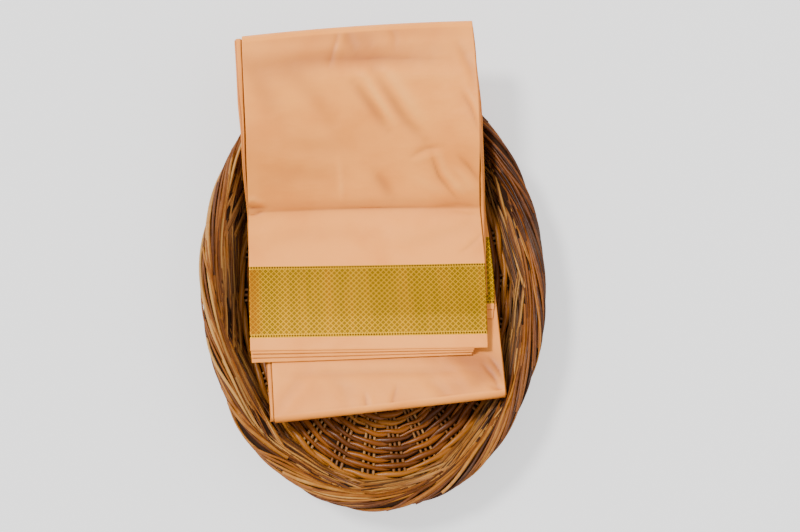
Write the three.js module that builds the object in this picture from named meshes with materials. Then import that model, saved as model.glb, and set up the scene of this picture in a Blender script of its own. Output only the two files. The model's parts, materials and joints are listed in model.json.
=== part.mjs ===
// A silk sari folded into a long pad and laid in an oval willow basket.
// Millimetres, +Z up. The origin is the centre of the basket's flat underside. +Y runs along
// the basket, from the pad's rounded near fold to the fold that hangs over the rim.
import * as THREE from 'three';

// ---- driving sizes ----

const gap = 0.3;            // clearance between neighbouring pieces
const leaf = 1.2;           // wall of a leaf of cloth that shows

const basket = {
  floorHalfWidth: 122,      // inside, where the wall turns up
  floorHalfLength: 172,
  floor: 6,                 // thickness of the base
  height: 56,
  flare: 28,                // how far the rim stands out past the floor all round
  rimRod: 6,                // radius of the rolled rim
  steps: 48,
};

// The pad follows one curved middle surface, between its lower and upper halves: a dip in the
// basket, a valley crease, a climb to the rim and a level end beyond it. Each row is one line
// across, with the height at the pad's left edge, middle and right edge.
const padHalfWidth = 105;
const crossSkew = 0.035;    // the lines across run a little towards -Y on the right
const heightRows = [
  { y: -125, left: 36.0, centre: 45.0, right: 56.0 },
  { y: -60, left: 28.5, centre: 32.5, right: 39.0 },
  { y: 0, left: 23.5, centre: 22.5, right: 26.0 },
  { y: 45, left: 22.0, centre: 17.6, right: 21.5 },
  { y: 67, left: 25.5, centre: 17.2, right: 24.5 },
  { y: 92, left: 46.0, centre: 28.5, right: 45.0 },
  { y: 125, left: 69.3, centre: 47.5, right: 68.8 },
  { y: 160, left: 76.0, centre: 66.0, right: 76.0 },
  { y: 187, left: 78.5, centre: 73.5, right: 78.5 },
  { y: 205, left: 78.5, centre: 74.0, right: 78.5 },
  { y: 240, left: 75.0, centre: 71.0, right: 75.0 },
];

// Lines where a stretch of cloth starts, ends or turns, as Y at the pad's left and right edges.
// A line with a bow stands further out in the middle.
const lines = {
  spine: { left: -118.6, right: -107.5 },          // outside of the rounded near fold
  farFold: { left: 206.1, right: 209.1, bow: 4.2 },   // where the middle surface ends
  undersideSeam: crossLine(145),
  borderFar: { left: 19.0, right: 9.4 },
  borderNear: { left: -45.2, right: -56.0 },
  upperEdge: { left: -55.9, right: -67.3 },        // selvedge of the top leaf
  hiddenEnd: { left: -8, right: -18 },             // the selvedge leaves take over here
  innerFar: crossLine(145),
  innerBorderFar: { left: 47.8, right: 36.8 },
  innerBorderNear: { left: -14.2, right: -25.2 },
  innerStep: { left: -19.3, right: -30.3 },
  innerEdge: { left: -27.0, right: -38.0 },
};

// Side edges of each stretch, as X at a few places along it.
const sides = {
  lowerLayers: [
    { y: -118, left: -95.5, right: 108.2 },
    { y: -65, left: -97.0, right: 107.8 },
    { y: 0, left: -100.0, right: 106.2 },
    { y: 70, left: -103.5, right: 102.8 },
    { y: 110, left: -105.0, right: 100.4 },
    { y: 140, left: -105.6, right: 100.2 },
    { y: 210, left: -108.8, right: 99.8 },
  ],
  upperLayers: [
    { y: -30, left: -108.6, right: 98.6 },
    { y: 9, left: -108.0, right: 100.3 },
    { y: 67, left: -109.0, right: 103.4 },
    { y: 133, left: -108.8, right: 102.9 },
    { y: 210, left: -108.8, right: 99.8 },
  ],
  lowerLeaf: [
    { y: -118, left: -91.3, right: 108.0 },
    { y: -65, left: -92.2, right: 107.4 },
    { y: 0, left: -95.5, right: 105.9 },
    { y: 70, left: -98.0, right: 102.4 },
    { y: 110, left: -99.2, right: 100.1 },
    { y: 140, left: -100.0, right: 99.9 },
    { y: 210, left: -102.6, right: 99.5 },
  ],
  upperLeaf: [
    { y: -68, left: -109.6, right: 95.9 },
    { y: 9, left: -108.9, right: 99.5 },
    { y: 67, left: -107.9, right: 99.3 },
    { y: 133, left: -105.4, right: 102.8 },
    { y: 175, left: -103.0, right: 100.6 },
    { y: 210, left: -102.6, right: 99.5 },
  ],
  farLeaf: [
    { y: 135, left: -100.0, right: 99.9 },
    { y: 210, left: -102.6, right: 99.5 },
  ],
  innerLeaf: [
    { y: -40, left: -98.0, right: 102.6 },
    { y: -25, left: -98.0, right: 105.0 },
    { y: 30, left: -101.2, right: 105.6 },
    { y: 52, left: -102.0, right: 104.0 },
    { y: 90, left: -104.0, right: 102.9 },
    { y: 155, left: -104.0, right: 100.9 },
  ],
};

// Lifts off the middle surface, along its normal.
const lift = {
  lowerOuter: -8.7, lowerInner: -3.0,       // hidden layers of the lower half
  lowerLeaf: -1.5,                          // top of the leaf that covers them
  innerLeaf: 1.2,                           // top of the leaves between the halves
  upperInner: 1.5, upperOuter: 8.4,         // hidden layers of the upper half
  upperLeaf: 10.2,                          // top of the leaf that covers them
};
const spineBulge = { depth: 2.6, reach: 30 };   // the near fold is fatter below
const edgeSag = 0.085;                          // the upper half's fall past the inner edge
const foldMiddle = (lift.lowerInner + lift.upperInner) / 2;

// Selvedge leaves under the top leaf, each reaching a little further out than the one above.
const selvedgeLeaves = [
  { name: 'selvedge_leaf_2', top: 8.7, thick: 2.0, edge: { left: -58.2, right: -68.4 }, right: 84.0 },
  { name: 'selvedge_leaf_3', top: 6.4, thick: 2.0, edge: { left: -61.2, right: -69.4 }, right: 83.0 },
  { name: 'selvedge_leaf_4', top: 4.1, thick: 2.0, edge: { left: -64.9, right: -70.4 }, right: 81.6 },
];

const selvedgeLeft = -109.2;
const leafRoot = [                              // side edges where they leave the hidden layers
  { y: lines.hiddenEnd.right, left: -108.8, right: 97.6 },
  { y: lines.hiddenEnd.left, left: -108.6, right: 98.0 },
];

// The edges of the hidden layers, read as a stack of soft folds: how far each one stands out.
const foldStack = {
  left: [0.0, 0.7, 0.2],
  right: [0.3, -0.4, 0.1],
  notch: 0.9,
  corner: -0.5,
};

// Every piece of the pad has its points on the same lines, so that neighbours stay parallel:
// lines across it, closer where it bends, and columns along it between its side edges.
const bendRows = [-98, -80, -64, 2, 30, 60, 68, 76, 85, 95, 106, 118, 131, 145, 162, 180];
const meshLines = [
  ...bendRows.map((y) => crossLine(y)),
  lines.borderNear, lines.innerEdge, lines.hiddenEnd, lines.borderFar, lines.innerBorderFar,
].sort((a, b) => a.left - b.left);
const columns = [-88, -64, -42, -20, 0, 20, 42, 64, 86];
const foldSteps = 10;

const silk = { color: 0xdba983, roughness: 0.46, metalness: 0 };
const zari = { color: 0xb8902f, roughness: 0.38, metalness: 0.55 };
const willow = { color: 0x9a5a26, roughness: 0.55, metalness: 0 };

// ---- the curved middle surface ----

function crossLine(y) {
  return { left: y + crossSkew * padHalfWidth, right: y - crossSkew * padHalfWidth };
}

// A smooth curve through one column of a table, at a place along it.
function along(rows, column, y) {
  const last = rows.length - 1;
  const place = THREE.MathUtils.clamp(y, rows[0].y, rows[last].y);
  let i = 0;
  while (i < last - 1 && place > rows[i + 1].y) i += 1;
  const slope = (k) => {
    const rise = (a, b) => (rows[b][column] - rows[a][column]) / (rows[b].y - rows[a].y);
    if (k === 0) return rise(0, 1);
    if (k === last) return rise(last - 1, last);
    const before = rows[k].y - rows[k - 1].y;
    const after = rows[k + 1].y - rows[k].y;
    return (rise(k - 1, k) * after + rise(k, k + 1) * before) / (before + after);
  };
  const span = rows[i + 1].y - rows[i].y;
  const t = (place - rows[i].y) / span;
  const t2 = t * t;
  const t3 = t2 * t;
  return (2 * t3 - 3 * t2 + 1) * rows[i][column] + (t3 - 2 * t2 + t) * span * slope(i)
    + (3 * t2 - 2 * t3) * rows[i + 1][column] + (t3 - t2) * span * slope(i + 1);
}

function middleHeight(x, y) {
  const place = y + crossSkew * x;
  const left = along(heightRows, 'left', place);
  const centre = along(heightRows, 'centre', place);
  const right = along(heightRows, 'right', place);
  const k = x / padHalfWidth;
  return centre + ((right - left) / 2) * k + ((left + right) / 2 - centre) * k * k;
}

function middleNormal(x, y) {
  const e = 0.5;
  const slopeX = (middleHeight(x + e, y) - middleHeight(x - e, y)) / (2 * e);
  const slopeY = (middleHeight(x, y + e) - middleHeight(x, y - e)) / (2 * e);
  return new THREE.Vector3(-slopeX, -slopeY, 1).normalize();
}

function lineAt(line, x) {
  const k = x / padHalfWidth;
  return THREE.MathUtils.lerp(line.left, line.right, (k + 1) / 2) + (line.bow ?? 0) * (1 - k * k);
}

// Where a line across the pad meets one of its side edges, moved out past that edge.
function edgePoint(edges, line, side, out = 0) {
  let x = side === 'left' ? -padHalfWidth : padHalfWidth;
  for (let i = 0; i < 4; i += 1) x = along(edges, side, lineAt(line, x));
  return { x: x + (side === 'left' ? -out : out), y: lineAt(line, x) };
}

// The points where a line across the pad meets its left edge, its columns and its right edge.
function crossing(edges, line, inner = columns) {
  return [edgePoint(edges, line, 'left'), ...inner.map((x) => ({ x, y: lineAt(line, x) })),
    edgePoint(edges, line, 'right')];
}

function lifted(x, y, height) {
  return new THREE.Vector3(x, y, middleHeight(x, y)).addScaledVector(middleNormal(x, y), height);
}

// A point on a rounded fold that turns about a line across the pad. At angle -90 degrees it is
// under the line, at 0 it points away from the pad and at 90 degrees it is above.
function roundFold(x, y, centre, radius, angle, way) {
  const normal = middleNormal(x, y);
  const outward = new THREE.Vector3(0, way, 0).projectOnPlane(normal).normalize();
  return lifted(x, y, centre)
    .addScaledVector(normal, radius * Math.sin(angle))
    .addScaledVector(outward, radius * Math.cos(angle));
}

// ---- closed solids from rows of points ----

function closedGeometry(points, triangles) {
  let volume = 0;
  for (const [a, b, c] of triangles) {
    volume += points[a].dot(new THREE.Vector3().crossVectors(points[b], points[c]));
  }
  const index = triangles.flatMap(([a, b, c]) => (volume < 0 ? [a, c, b] : [a, b, c]));
  const geometry = new THREE.BufferGeometry().setFromPoints(points);
  geometry.setIndex(index);
  geometry.computeVertexNormals();
  return geometry;
}

// Loops of equal length, joined one to the next. A ring closes on its first loop, and any
// other run of loops is closed by the triangles of its cap. Each four-sided face is split from
// its corner nearest +X +Y, so that faces that lie on each other are split alike.
function loft(loops, cap) {
  const size = loops[0].length;
  const points = loops.flat();
  const triangles = [];
  const reach = (i) => points[i].x + points[i].y;
  const count = cap ? loops.length - 1 : loops.length;
  for (let i = 0; i < count; i += 1) {
    const here = i * size;
    const next = ((i + 1) % loops.length) * size;
    for (let j = 0; j < size; j += 1) {
      const k = (j + 1) % size;
      const [a, b, c, d] = [here + j, next + j, next + k, here + k];
      if (Math.max(reach(a), reach(c)) > Math.max(reach(b), reach(d))) {
        triangles.push([a, b, c], [a, c, d]);
      } else {
        triangles.push([a, b, d], [b, c, d]);
      }
    }
  }
  if (cap) {
    const end = (loops.length - 1) * size;
    for (const [a, b, c] of cap) triangles.push([a, b, c], [end + a, end + c, end + b]);
  }
  return closedGeometry(points, triangles);
}

// The cap of a loop that runs along count inner points, its right-hand folds, the outer points
// back, and its left-hand folds. It is a strip of triangles, and with folds it has a small
// polygon at each side, from the last column out.
function stripCap(count, folds = null) {
  const rightCount = folds ? folds.right.length : 0;
  const outerAt = (i) => 2 * count + rightCount - 1 - i;
  const skip = folds ? 1 : 0;
  const triangles = [];
  for (let i = skip; i < count - 1 - skip; i += 1) {
    triangles.push([i, i + 1, outerAt(i + 1)], [i, outerAt(i + 1), outerAt(i)]);
  }
  if (!folds) return triangles;
  const inward = -20;
  const run = (first, length) => Array.from({ length }, (_, k) => first + k);
  const ends = (depth) => [{ out: inward, depth }, { out: foldStack.corner, depth }];
  const polygon = (names, outline, way) => {
    const flat = outline.map(({ out, depth }) => new THREE.Vector2(way * out, depth));
    for (const [a, b, c] of THREE.ShapeUtils.triangulateShape(flat, [])) {
      const forward = flat[b].clone().sub(flat[a]).cross(flat[c].clone().sub(flat[a])) > 0;
      triangles.push(forward ? [names[a], names[b], names[c]] : [names[a], names[c], names[b]]);
    }
  };
  polygon(run(count - 2, rightCount + 4), [...ends(0), ...folds.right, ...ends(1).reverse()], 1);
  polygon([...run(outerAt(1), folds.left.length + 2), 0, 1],
    [...ends(1), ...[...folds.left].reverse(), ...ends(0).reverse()], -1);
  return triangles;
}

// A wall of cloth between two faces. Each station has the wall's inner and outer points on one
// line across it, in the same order.
function clothWall(stations) {
  const loops = stations.map(({ inner, outer }) => [...inner, ...[...outer].reverse()]);
  return loft(loops, stripCap(stations[0].inner.length));
}

function linesBetween(from, to) {
  const room = 2;
  const inside = meshLines.filter((line) => line.left > from.left + room && line.left < to.left - room
    && line.right > from.right + room && line.right < to.right - room);
  return [from, ...inside, to];
}

function shifted(line, amount) {
  return { left: line.left + amount, right: line.right + amount };
}

function angles(steps) {
  return Array.from({ length: steps - 1 }, (_, i) => -Math.PI / 2 + (Math.PI * (i + 1)) / steps);
}

function bulgeAt({ x, y }) {
  const reach = Math.max(0, y - lineAt(spineTurn, x)) / spineBulge.reach;
  return spineBulge.depth * Math.exp(-reach * reach);
}

function sagAt({ x, y }) {
  return edgeSag * Math.max(0, lineAt(lines.innerEdge, x) - y);
}

// ---- the sari ----

const spineRadius = (lift.lowerLeaf - lift.lowerOuter + gap + leaf + spineBulge.depth) / 2;
const spineCentre = lift.lowerLeaf - spineRadius;
const spineTurn = shifted(lines.spine, spineRadius);

// A run of the pad between two lifts, each a number or a function of the place.
function stretch(edges, from, to, inner, outer, inside = columns) {
  const at = (value, place) => (typeof value === 'function' ? value(place) : value);
  return linesBetween(from, to).map((line) => {
    const places = crossing(edges, line, inside);
    return {
      inner: places.map((place) => lifted(place.x, place.y, at(inner, place))),
      outer: places.map((place) => lifted(place.x, place.y, at(outer, place))),
    };
  });
}

// A wall of cloth that turns round a fold, from under its line to above it.
function turn(edges, line, centre, innerRadius, outerRadius, way) {
  const places = crossing(edges, line);
  return angles(foldSteps).map((angle) => {
    const share = angle / Math.PI + 0.5;
    const round = (radius) => places.map(({ x, y }) => roundFold(x, y, centre, radius(share), angle, way));
    return { inner: round(innerRadius), outer: round(outerRadius) };
  });
}

// The lower half's leaf: the panel that shows, the rounded near fold and the underside.
function lowerPanel() {
  const under = (place) => lift.lowerOuter - gap - bulgeAt(place);
  return clothWall([
    ...stretch(sides.lowerLeaf, spineTurn, lines.innerBorderFar, lift.lowerLeaf - leaf, lift.lowerLeaf).reverse(),
    ...turn(sides.lowerLeaf, spineTurn, spineCentre, () => spineRadius - leaf, () => spineRadius, -1).reverse(),
    ...stretch(sides.lowerLeaf, spineTurn, lines.undersideSeam, under, (place) => under(place) - leaf),
  ]);
}

// The upper half's leaf: from the underside, round the far fold and down to the gold border.
function upperPanel() {
  const under = lift.lowerOuter - gap;
  const radius = (share) => THREE.MathUtils.lerp(foldMiddle - under, lift.upperLeaf - leaf - foldMiddle, share);
  return clothWall([
    ...stretch(sides.farLeaf, shifted(lines.undersideSeam, gap), lines.farFold, under, under - leaf),
    ...turn(sides.farLeaf, lines.farFold, foldMiddle, radius, (share) => radius(share) + leaf, 1),
    ...stretch(sides.upperLeaf, shifted(lines.borderFar, gap), lines.farFold, lift.upperLeaf - leaf, lift.upperLeaf).reverse(),
  ]);
}

// Pieces of the upper half that droop a little past the inner edge.
function droopingWall(edges, from, to, top, thick, inside = columns) {
  const outer = (place) => top - sagAt(place);
  return clothWall(stretch(edges, from, shifted(to, -gap), (place) => outer(place) - thick, outer, inside));
}

// A leaf under the top one, narrower towards its selvedge, so it spans one column less.
function selvedgeLeaf(row) {
  const edges = [{ y: row.edge.right, left: selvedgeLeft, right: row.right }, ...leafRoot];
  return droopingWall(edges, row.edge, lines.hiddenEnd, row.top, row.thick, columns.slice(0, -1));
}

const innerThick = lift.innerLeaf - lift.lowerLeaf - gap;

function innerStretch(from, to, drop = 0) {
  const top = lift.innerLeaf - drop;
  return clothWall(stretch(sides.innerLeaf, from, shifted(to, -gap), top - innerThick + drop, top));
}

// All the layers that don't show, as one solid bent double over the far fold, with its side
// edges shaped as a stack of folds.
function hiddenLayers() {
  const layers = foldStack.left.length;
  const folds = (side) => foldStack[side].flatMap((out, k) => [
    ...(k > 0 ? [{ out: -foldStack.notch, depth: k / layers }] : []),
    { out, depth: (k + 0.25) / layers },
    { out, depth: (k + 0.75) / layers },
  ]);
  const section = (line, edges, place) => {
    const across = (depth) => [
      edgePoint(edges, line, 'left', foldStack.corner),
      ...columns.map((x) => ({ x, y: lineAt(line, x) })),
      edgePoint(edges, line, 'right', foldStack.corner),
    ].map((point) => place(point, depth));
    const edge = (side) => folds(side).map(({ out, depth }) => place(edgePoint(edges, line, side, out), depth));
    return [...across(0), ...edge('right'), ...across(1).reverse(), ...edge('left').reverse()];
  };
  const between = THREE.MathUtils.lerp;
  const lower = ({ x, y }, depth) => lifted(x, y, between(lift.lowerInner, lift.lowerOuter - bulgeAt({ x, y }), depth));
  const upper = ({ x, y }, depth) => lifted(x, y, between(lift.upperInner, lift.upperOuter, depth));
  const innerRadius = (lift.upperInner - lift.lowerInner) / 2;
  const turned = (angle) => ({ x, y }, depth) => {
    const thick = between(lift.lowerInner - lift.lowerOuter, lift.upperOuter - lift.upperInner, angle / Math.PI + 0.5);
    return roundFold(x, y, foldMiddle, innerRadius + depth * thick, angle, 1);
  };
  return loft([
    ...linesBetween(shifted(spineTurn, gap), lines.farFold).map((line) => section(line, sides.lowerLayers, lower)),
    ...angles(foldSteps).map((angle) => section(lines.farFold, sides.upperLayers, turned(angle))),
    ...linesBetween(lines.hiddenEnd, lines.farFold).reverse()
      .map((line) => section(line, sides.upperLayers, upper)),
  ], stripCap(columns.length + 2, { left: folds('left'), right: folds('right') }));
}

// ---- the basket ----

function oval(out, z, step) {
  const angle = (2 * Math.PI * step) / basket.steps;
  return new THREE.Vector3((basket.floorHalfWidth + out) * Math.cos(angle),
    (basket.floorHalfLength + out) * Math.sin(angle), z);
}

// A section in out and z, carried round the oval.
function ovalRing(section) {
  const loops = Array.from({ length: basket.steps }, (_, step) => section.map(([out, z]) => oval(out, z, step)));
  return loft(loops, null);
}

function basketBase() {
  const edge = -gap;
  const soften = 1;
  const section = [[edge - soften, 0], [edge, soften], [edge, basket.floor - soften], [edge - soften, basket.floor]];
  const loops = Array.from({ length: basket.steps }, (_, step) => section.map(([out, z]) => oval(out, z, step)));
  const points = [...loops.flat(), new THREE.Vector3(0, 0, 0), new THREE.Vector3(0, 0, basket.floor)];
  const size = section.length;
  const bottom = points.length - 2;
  const top = points.length - 1;
  const triangles = [];
  for (let i = 0; i < basket.steps; i += 1) {
    const here = i * size;
    const next = ((i + 1) % basket.steps) * size;
    for (let j = 0; j < size - 1; j += 1) {
      triangles.push([here + j, next + j, next + j + 1], [here + j, next + j + 1, here + j + 1]);
    }
    triangles.push([bottom, next, here], [top, here + size - 1, next + size - 1]);
  }
  return closedGeometry(points, triangles);
}

const rimOut = basket.flare - basket.rimRod;
const rimHeight = basket.height - basket.rimRod;

// The wall's inside stands out from the floor's outline by these amounts as it climbs, and its
// top edge tucks in under the rim.
const wallRows = [
  { z: basket.floor, out: 0, thick: 5 },
  { z: 14, out: 2.4, thick: 5.2 },
  { z: 26.5, out: 7.4, thick: 5.5 },
  { z: 38.5, out: 13.2, thick: 5.7 },
];
const wallTop = { z: rimHeight - basket.rimRod - gap, inside: rimOut - 4.6, outside: rimOut - 0.6, rise: 1.2 };

function basketWall() {
  const inside = wallRows.map(({ z, out }) => [out, z]);
  const outside = wallRows.map(({ z, out, thick }) => [out + thick, z]).reverse();
  const foot = wallRows[0].thick - 1;
  return ovalRing([[0, 0], ...inside, [wallTop.inside, wallTop.z + wallTop.rise],
    [wallTop.outside, wallTop.z], ...outside, [foot, 0]]);
}

function basketRim() {
  const corners = 8;
  return ovalRing(Array.from({ length: corners }, (_, i) => {
    const angle = (2 * Math.PI * (i + 0.5)) / corners;
    return [rimOut + basket.rimRod * Math.cos(angle), rimHeight + basket.rimRod * Math.sin(angle)];
  }));
}

// ---- the group ----

const group = new THREE.Group();

function add(name, geometry, finish) {
  const mesh = new THREE.Mesh(geometry, new THREE.MeshStandardMaterial(finish));
  mesh.name = name;
  group.add(mesh);
}

add('basket_base', basketBase(), willow);
add('basket_wall', basketWall(), willow);
add('basket_rim', basketRim(), willow);
add('hidden_layers', hiddenLayers(), silk);
add('lower_panel', lowerPanel(), silk);
add('upper_panel', upperPanel(), silk);
add('upper_border', droopingWall(sides.upperLeaf, lines.borderNear, lines.borderFar, lift.upperLeaf, leaf), zari);
add('upper_selvedge', droopingWall(sides.upperLeaf, lines.upperEdge, lines.borderNear, lift.upperLeaf, leaf), silk);
for (const row of selvedgeLeaves) add(row.name, selvedgeLeaf(row), silk);
add('inner_panel', innerStretch(lines.innerBorderFar, lines.innerFar), silk);
add('inner_border', innerStretch(lines.innerBorderNear, lines.innerBorderFar), zari);
add('inner_selvedge', innerStretch(lines.innerStep, lines.innerBorderNear), silk);
add('inner_selvedge_step', innerStretch(lines.innerEdge, lines.innerStep, 1.1), silk);

export default group;
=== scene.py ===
import json
import math
import bpy
import numpy as np
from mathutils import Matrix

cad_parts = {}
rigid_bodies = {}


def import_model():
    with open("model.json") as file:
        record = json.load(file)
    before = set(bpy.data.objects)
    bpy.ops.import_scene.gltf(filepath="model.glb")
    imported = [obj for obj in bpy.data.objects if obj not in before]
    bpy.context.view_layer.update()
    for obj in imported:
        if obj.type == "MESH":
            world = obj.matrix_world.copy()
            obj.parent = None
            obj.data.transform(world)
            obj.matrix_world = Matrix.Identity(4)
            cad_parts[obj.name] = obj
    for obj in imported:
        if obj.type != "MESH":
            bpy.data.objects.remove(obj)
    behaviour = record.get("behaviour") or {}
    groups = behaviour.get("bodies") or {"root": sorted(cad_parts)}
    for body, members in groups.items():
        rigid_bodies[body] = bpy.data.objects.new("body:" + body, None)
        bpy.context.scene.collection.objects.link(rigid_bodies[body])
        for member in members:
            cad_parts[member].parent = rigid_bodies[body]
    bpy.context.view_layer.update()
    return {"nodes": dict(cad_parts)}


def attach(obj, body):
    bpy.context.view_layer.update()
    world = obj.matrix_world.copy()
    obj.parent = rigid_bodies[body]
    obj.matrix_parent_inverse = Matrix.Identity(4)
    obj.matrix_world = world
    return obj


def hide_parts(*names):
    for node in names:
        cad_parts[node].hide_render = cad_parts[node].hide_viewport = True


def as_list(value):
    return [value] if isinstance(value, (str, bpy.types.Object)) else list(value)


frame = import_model()
print("frame loaded:", ", ".join(sorted(frame["nodes"])))

mm = 0.001    # lengths below are in millimetres, and meshes are in metres


# A node tree that makes nodes by type: settings go in first, then the values or links of the sockets.
class Board:
    def __init__(self, tree):
        self.tree = tree

    def node(self, kind, settings=None, sockets=None, out=0):
        made = self.tree.nodes.new(kind)
        for name, value in (settings or {}).items():
            if name == "stops":
                ramp = made.color_ramp
                while len(ramp.elements) < len(value):
                    ramp.elements.new(0.5)
                for element, (place, color) in zip(ramp.elements, value):
                    element.position = place
                    element.color = (*color, 1)
            else:
                setattr(made, name, value)
        for name, value in (sockets or {}).items():
            if isinstance(value, Wire):
                self.tree.links.new(value.socket, made.inputs[name])
            else:
                made.inputs[name].default_value = value
        return Wire(self, made.outputs[out]) if made.outputs else made

    def mixColor(self, factor, first, second):
        first, second = [(*c, 1) if isinstance(c, tuple) and len(c) == 3 else c for c in (first, second)]
        return self.node("ShaderNodeMix", {"data_type": "RGBA"}, {0: factor, 6: first, 7: second}, 2)

    def vector(self, x, y, z=0.0):
        return self.node("ShaderNodeCombineXYZ", sockets={0: x, 1: y, 2: z})

    def noise(self, place, scale, detail, roughness):
        return self.node("ShaderNodeTexNoise", {"normalize": True},
                         {"Vector": place, "Scale": scale, "Detail": detail, "Roughness": roughness})


# One socket. Expressions on wires add Math nodes.
class Wire:
    def __init__(self, board, socket):
        self.board = board
        self.socket = socket

    def math(self, operation, *others):
        return calculate(self.board, operation, self, *others)

    def __add__(self, other):
        return self.math("ADD", other)

    __radd__ = __add__

    def __sub__(self, other):
        return self.math("SUBTRACT", other)

    def __rsub__(self, other):
        return calculate(self.board, "SUBTRACT", other, self)

    def __mul__(self, other):
        return self.math("MULTIPLY", other)

    __rmul__ = __mul__

    def __truediv__(self, other):
        return self.math("DIVIDE", other)

    def __rtruediv__(self, other):
        return calculate(self.board, "DIVIDE", other, self)

    def __pow__(self, other):
        return self.math("POWER", other)

    def between(self, low, high):    # 0 below low, 1 above high, smooth between
        return self.board.node("ShaderNodeMapRange", {"interpolation_type": "SMOOTHSTEP"},
                               {"Value": self, "From Min": low, "From Max": high})

    def limit(self, low, high):
        return self.math("MAXIMUM", low).math("MINIMUM", high)

    def part(self, index):
        return self.board.node("ShaderNodeSeparateXYZ", sockets={0: self}, out=index)


def calculate(board, operation, *values):
    return board.node("ShaderNodeMath", {"operation": operation}, dict(enumerate(values)))


def newMaterial(name):
    material = bpy.data.materials.new(name)
    material.use_nodes = True
    material.node_tree.nodes.clear()
    return material, Board(material.node_tree)


def finishMaterial(board, shader):
    board.node("ShaderNodeOutputMaterial", sockets={"Surface": shader})


cameraView = {
    "aim": (24.3, 9.6, 50.0), "distance": 1300.0, "tilt": 11.0, "turn": 3.28,
    "lens": 67.2, "sensor": 36, "clipEnd": 20,
}
lightSetup = {
    "key": {"strength": 4.0, "softness": 12, "from": (-0.46, 0.30, 0.85), "color": (1.0, 0.985, 0.96)},
    "fill": {"strength": 1.1, "softness": 60, "from": (0.80, -0.20, 0.62), "color": (1.0, 0.99, 0.97)},
    "sky": 1.05,
    "floor": {"half": 6.0, "color": (0.50, 0.50, 0.505), "roughness": 0.9, "specular": 0.1, "glow": 0.86},
}


def makeCamera(view):
    tilt, turn = math.radians(view["tilt"]), math.radians(view["turn"])
    back = np.array([-math.sin(tilt) * math.sin(turn), -math.sin(tilt) * math.cos(turn), math.cos(tilt)])
    camera = bpy.data.objects.new("camera", bpy.data.cameras.new("camera"))
    camera.data.lens = view["lens"]
    camera.data.sensor_width = view["sensor"]
    camera.data.clip_end = view["clipEnd"]
    camera.location = [float(v) for v in (np.array(view["aim"]) + view["distance"] * back) * mm]
    camera.rotation_euler = (tilt, 0, -turn)
    bpy.context.scene.collection.objects.link(camera)
    bpy.context.scene.camera = camera


def makeSun(name, setup):
    sun = bpy.data.objects.new(name, bpy.data.lights.new(name, "SUN"))
    sun.data.energy = setup["strength"]
    sun.data.angle = math.radians(setup["softness"])
    sun.data.color = setup["color"]
    x, y, z = setup["from"]
    sun.rotation_euler = (math.atan2(math.hypot(x, y), z), 0, math.atan2(x, -y))
    bpy.context.scene.collection.objects.link(sun)


def makeFloor(look):
    half = look["half"]
    corners = [(-half, -half, 0), (half, -half, 0), (half, half, 0), (-half, half, 0)]
    mesh = bpy.data.meshes.new("floor")
    mesh.from_pydata(corners, [], [(0, 1, 2, 3)])
    floor = bpy.data.objects.new("floor", mesh)
    bpy.context.scene.collection.objects.link(floor)
    material, board = newMaterial("pale floor")
    finishMaterial(board, board.node("ShaderNodeBsdfPrincipled", sockets={
        "Base Color": (*look["color"], 1), "Roughness": look["roughness"],
        "Specular IOR Level": look["specular"],
        "Emission Color": (1, 1, 1, 1), "Emission Strength": look["glow"]}))
    mesh.materials.append(material)


makeCamera(cameraView)
makeSun("key light", lightSetup["key"])
makeSun("fill light", lightSetup["fill"])
makeFloor(lightSetup["floor"])
world = bpy.data.worlds.new("studio")
world.use_nodes = True
world.node_tree.nodes["Background"].inputs["Strength"].default_value = lightSetup["sky"]
world.node_tree.nodes["Background"].inputs["Color"].default_value = (1, 1, 1, 1)
bpy.context.scene.world = world
print("stage set")


# The pad follows a middle surface between its lower and upper halves. Each row is a line across
# it, with the surface's height at the pad's left edge, middle and right edge.
padForm = {
    "halfWidth": 105, "skew": 0.035,
    "heights": {
        "y": (-125, -60, 0, 45, 67, 92, 125, 160, 187, 205, 240),
        "left": (36, 28.5, 23.5, 22, 25.5, 46, 69.3, 76, 78.5, 78.5, 75),
        "centre": (45, 32.5, 22.5, 17.6, 17.2, 28.5, 47.5, 66, 73.5, 74, 71),
        "right": (56, 39, 26, 21.5, 24.5, 45, 68.8, 76, 78.5, 78.5, 75),
    },
}

# Side edges of each stretch of cloth: x at a few places along the pad.
sideEdges = {
    "lowerLayers": {"y": (-118, -65, 0, 70, 110, 140, 210),
                    "left": (-95.5, -97, -100, -103.5, -105, -105.6, -108.8),
                    "right": (108.2, 107.8, 106.2, 102.8, 100.4, 100.2, 99.8)},
    "upperLayers": {"y": (-30, 9, 67, 133, 210), "left": (-108.6, -108, -109, -108.8, -108.8),
                    "right": (98.6, 100.3, 103.4, 102.9, 99.8)},
    "lowerLeaf": {"y": (-118, -65, 0, 70, 110, 140, 210),
                  "left": (-91.3, -92.2, -95.5, -98, -99.2, -100, -102.6),
                  "right": (108, 107.4, 105.9, 102.4, 100.1, 99.9, 99.5)},
    "upperLeaf": {"y": (-68, 9, 67, 133, 175, 210), "left": (-109.6, -108.9, -107.9, -105.4, -103, -102.6),
                  "right": (95.9, 99.5, 99.3, 102.8, 100.6, 99.5)},
    "farLeaf": {"y": (135, 210), "left": (-100, -102.6), "right": (99.9, 99.5)},
    "innerLeaf": {"y": (-40, -25, 30, 52, 90, 155), "left": (-98, -98, -101.2, -102, -104, -104),
                  "right": (102.6, 105, 105.6, 104, 102.9, 100.9)},
}

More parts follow.
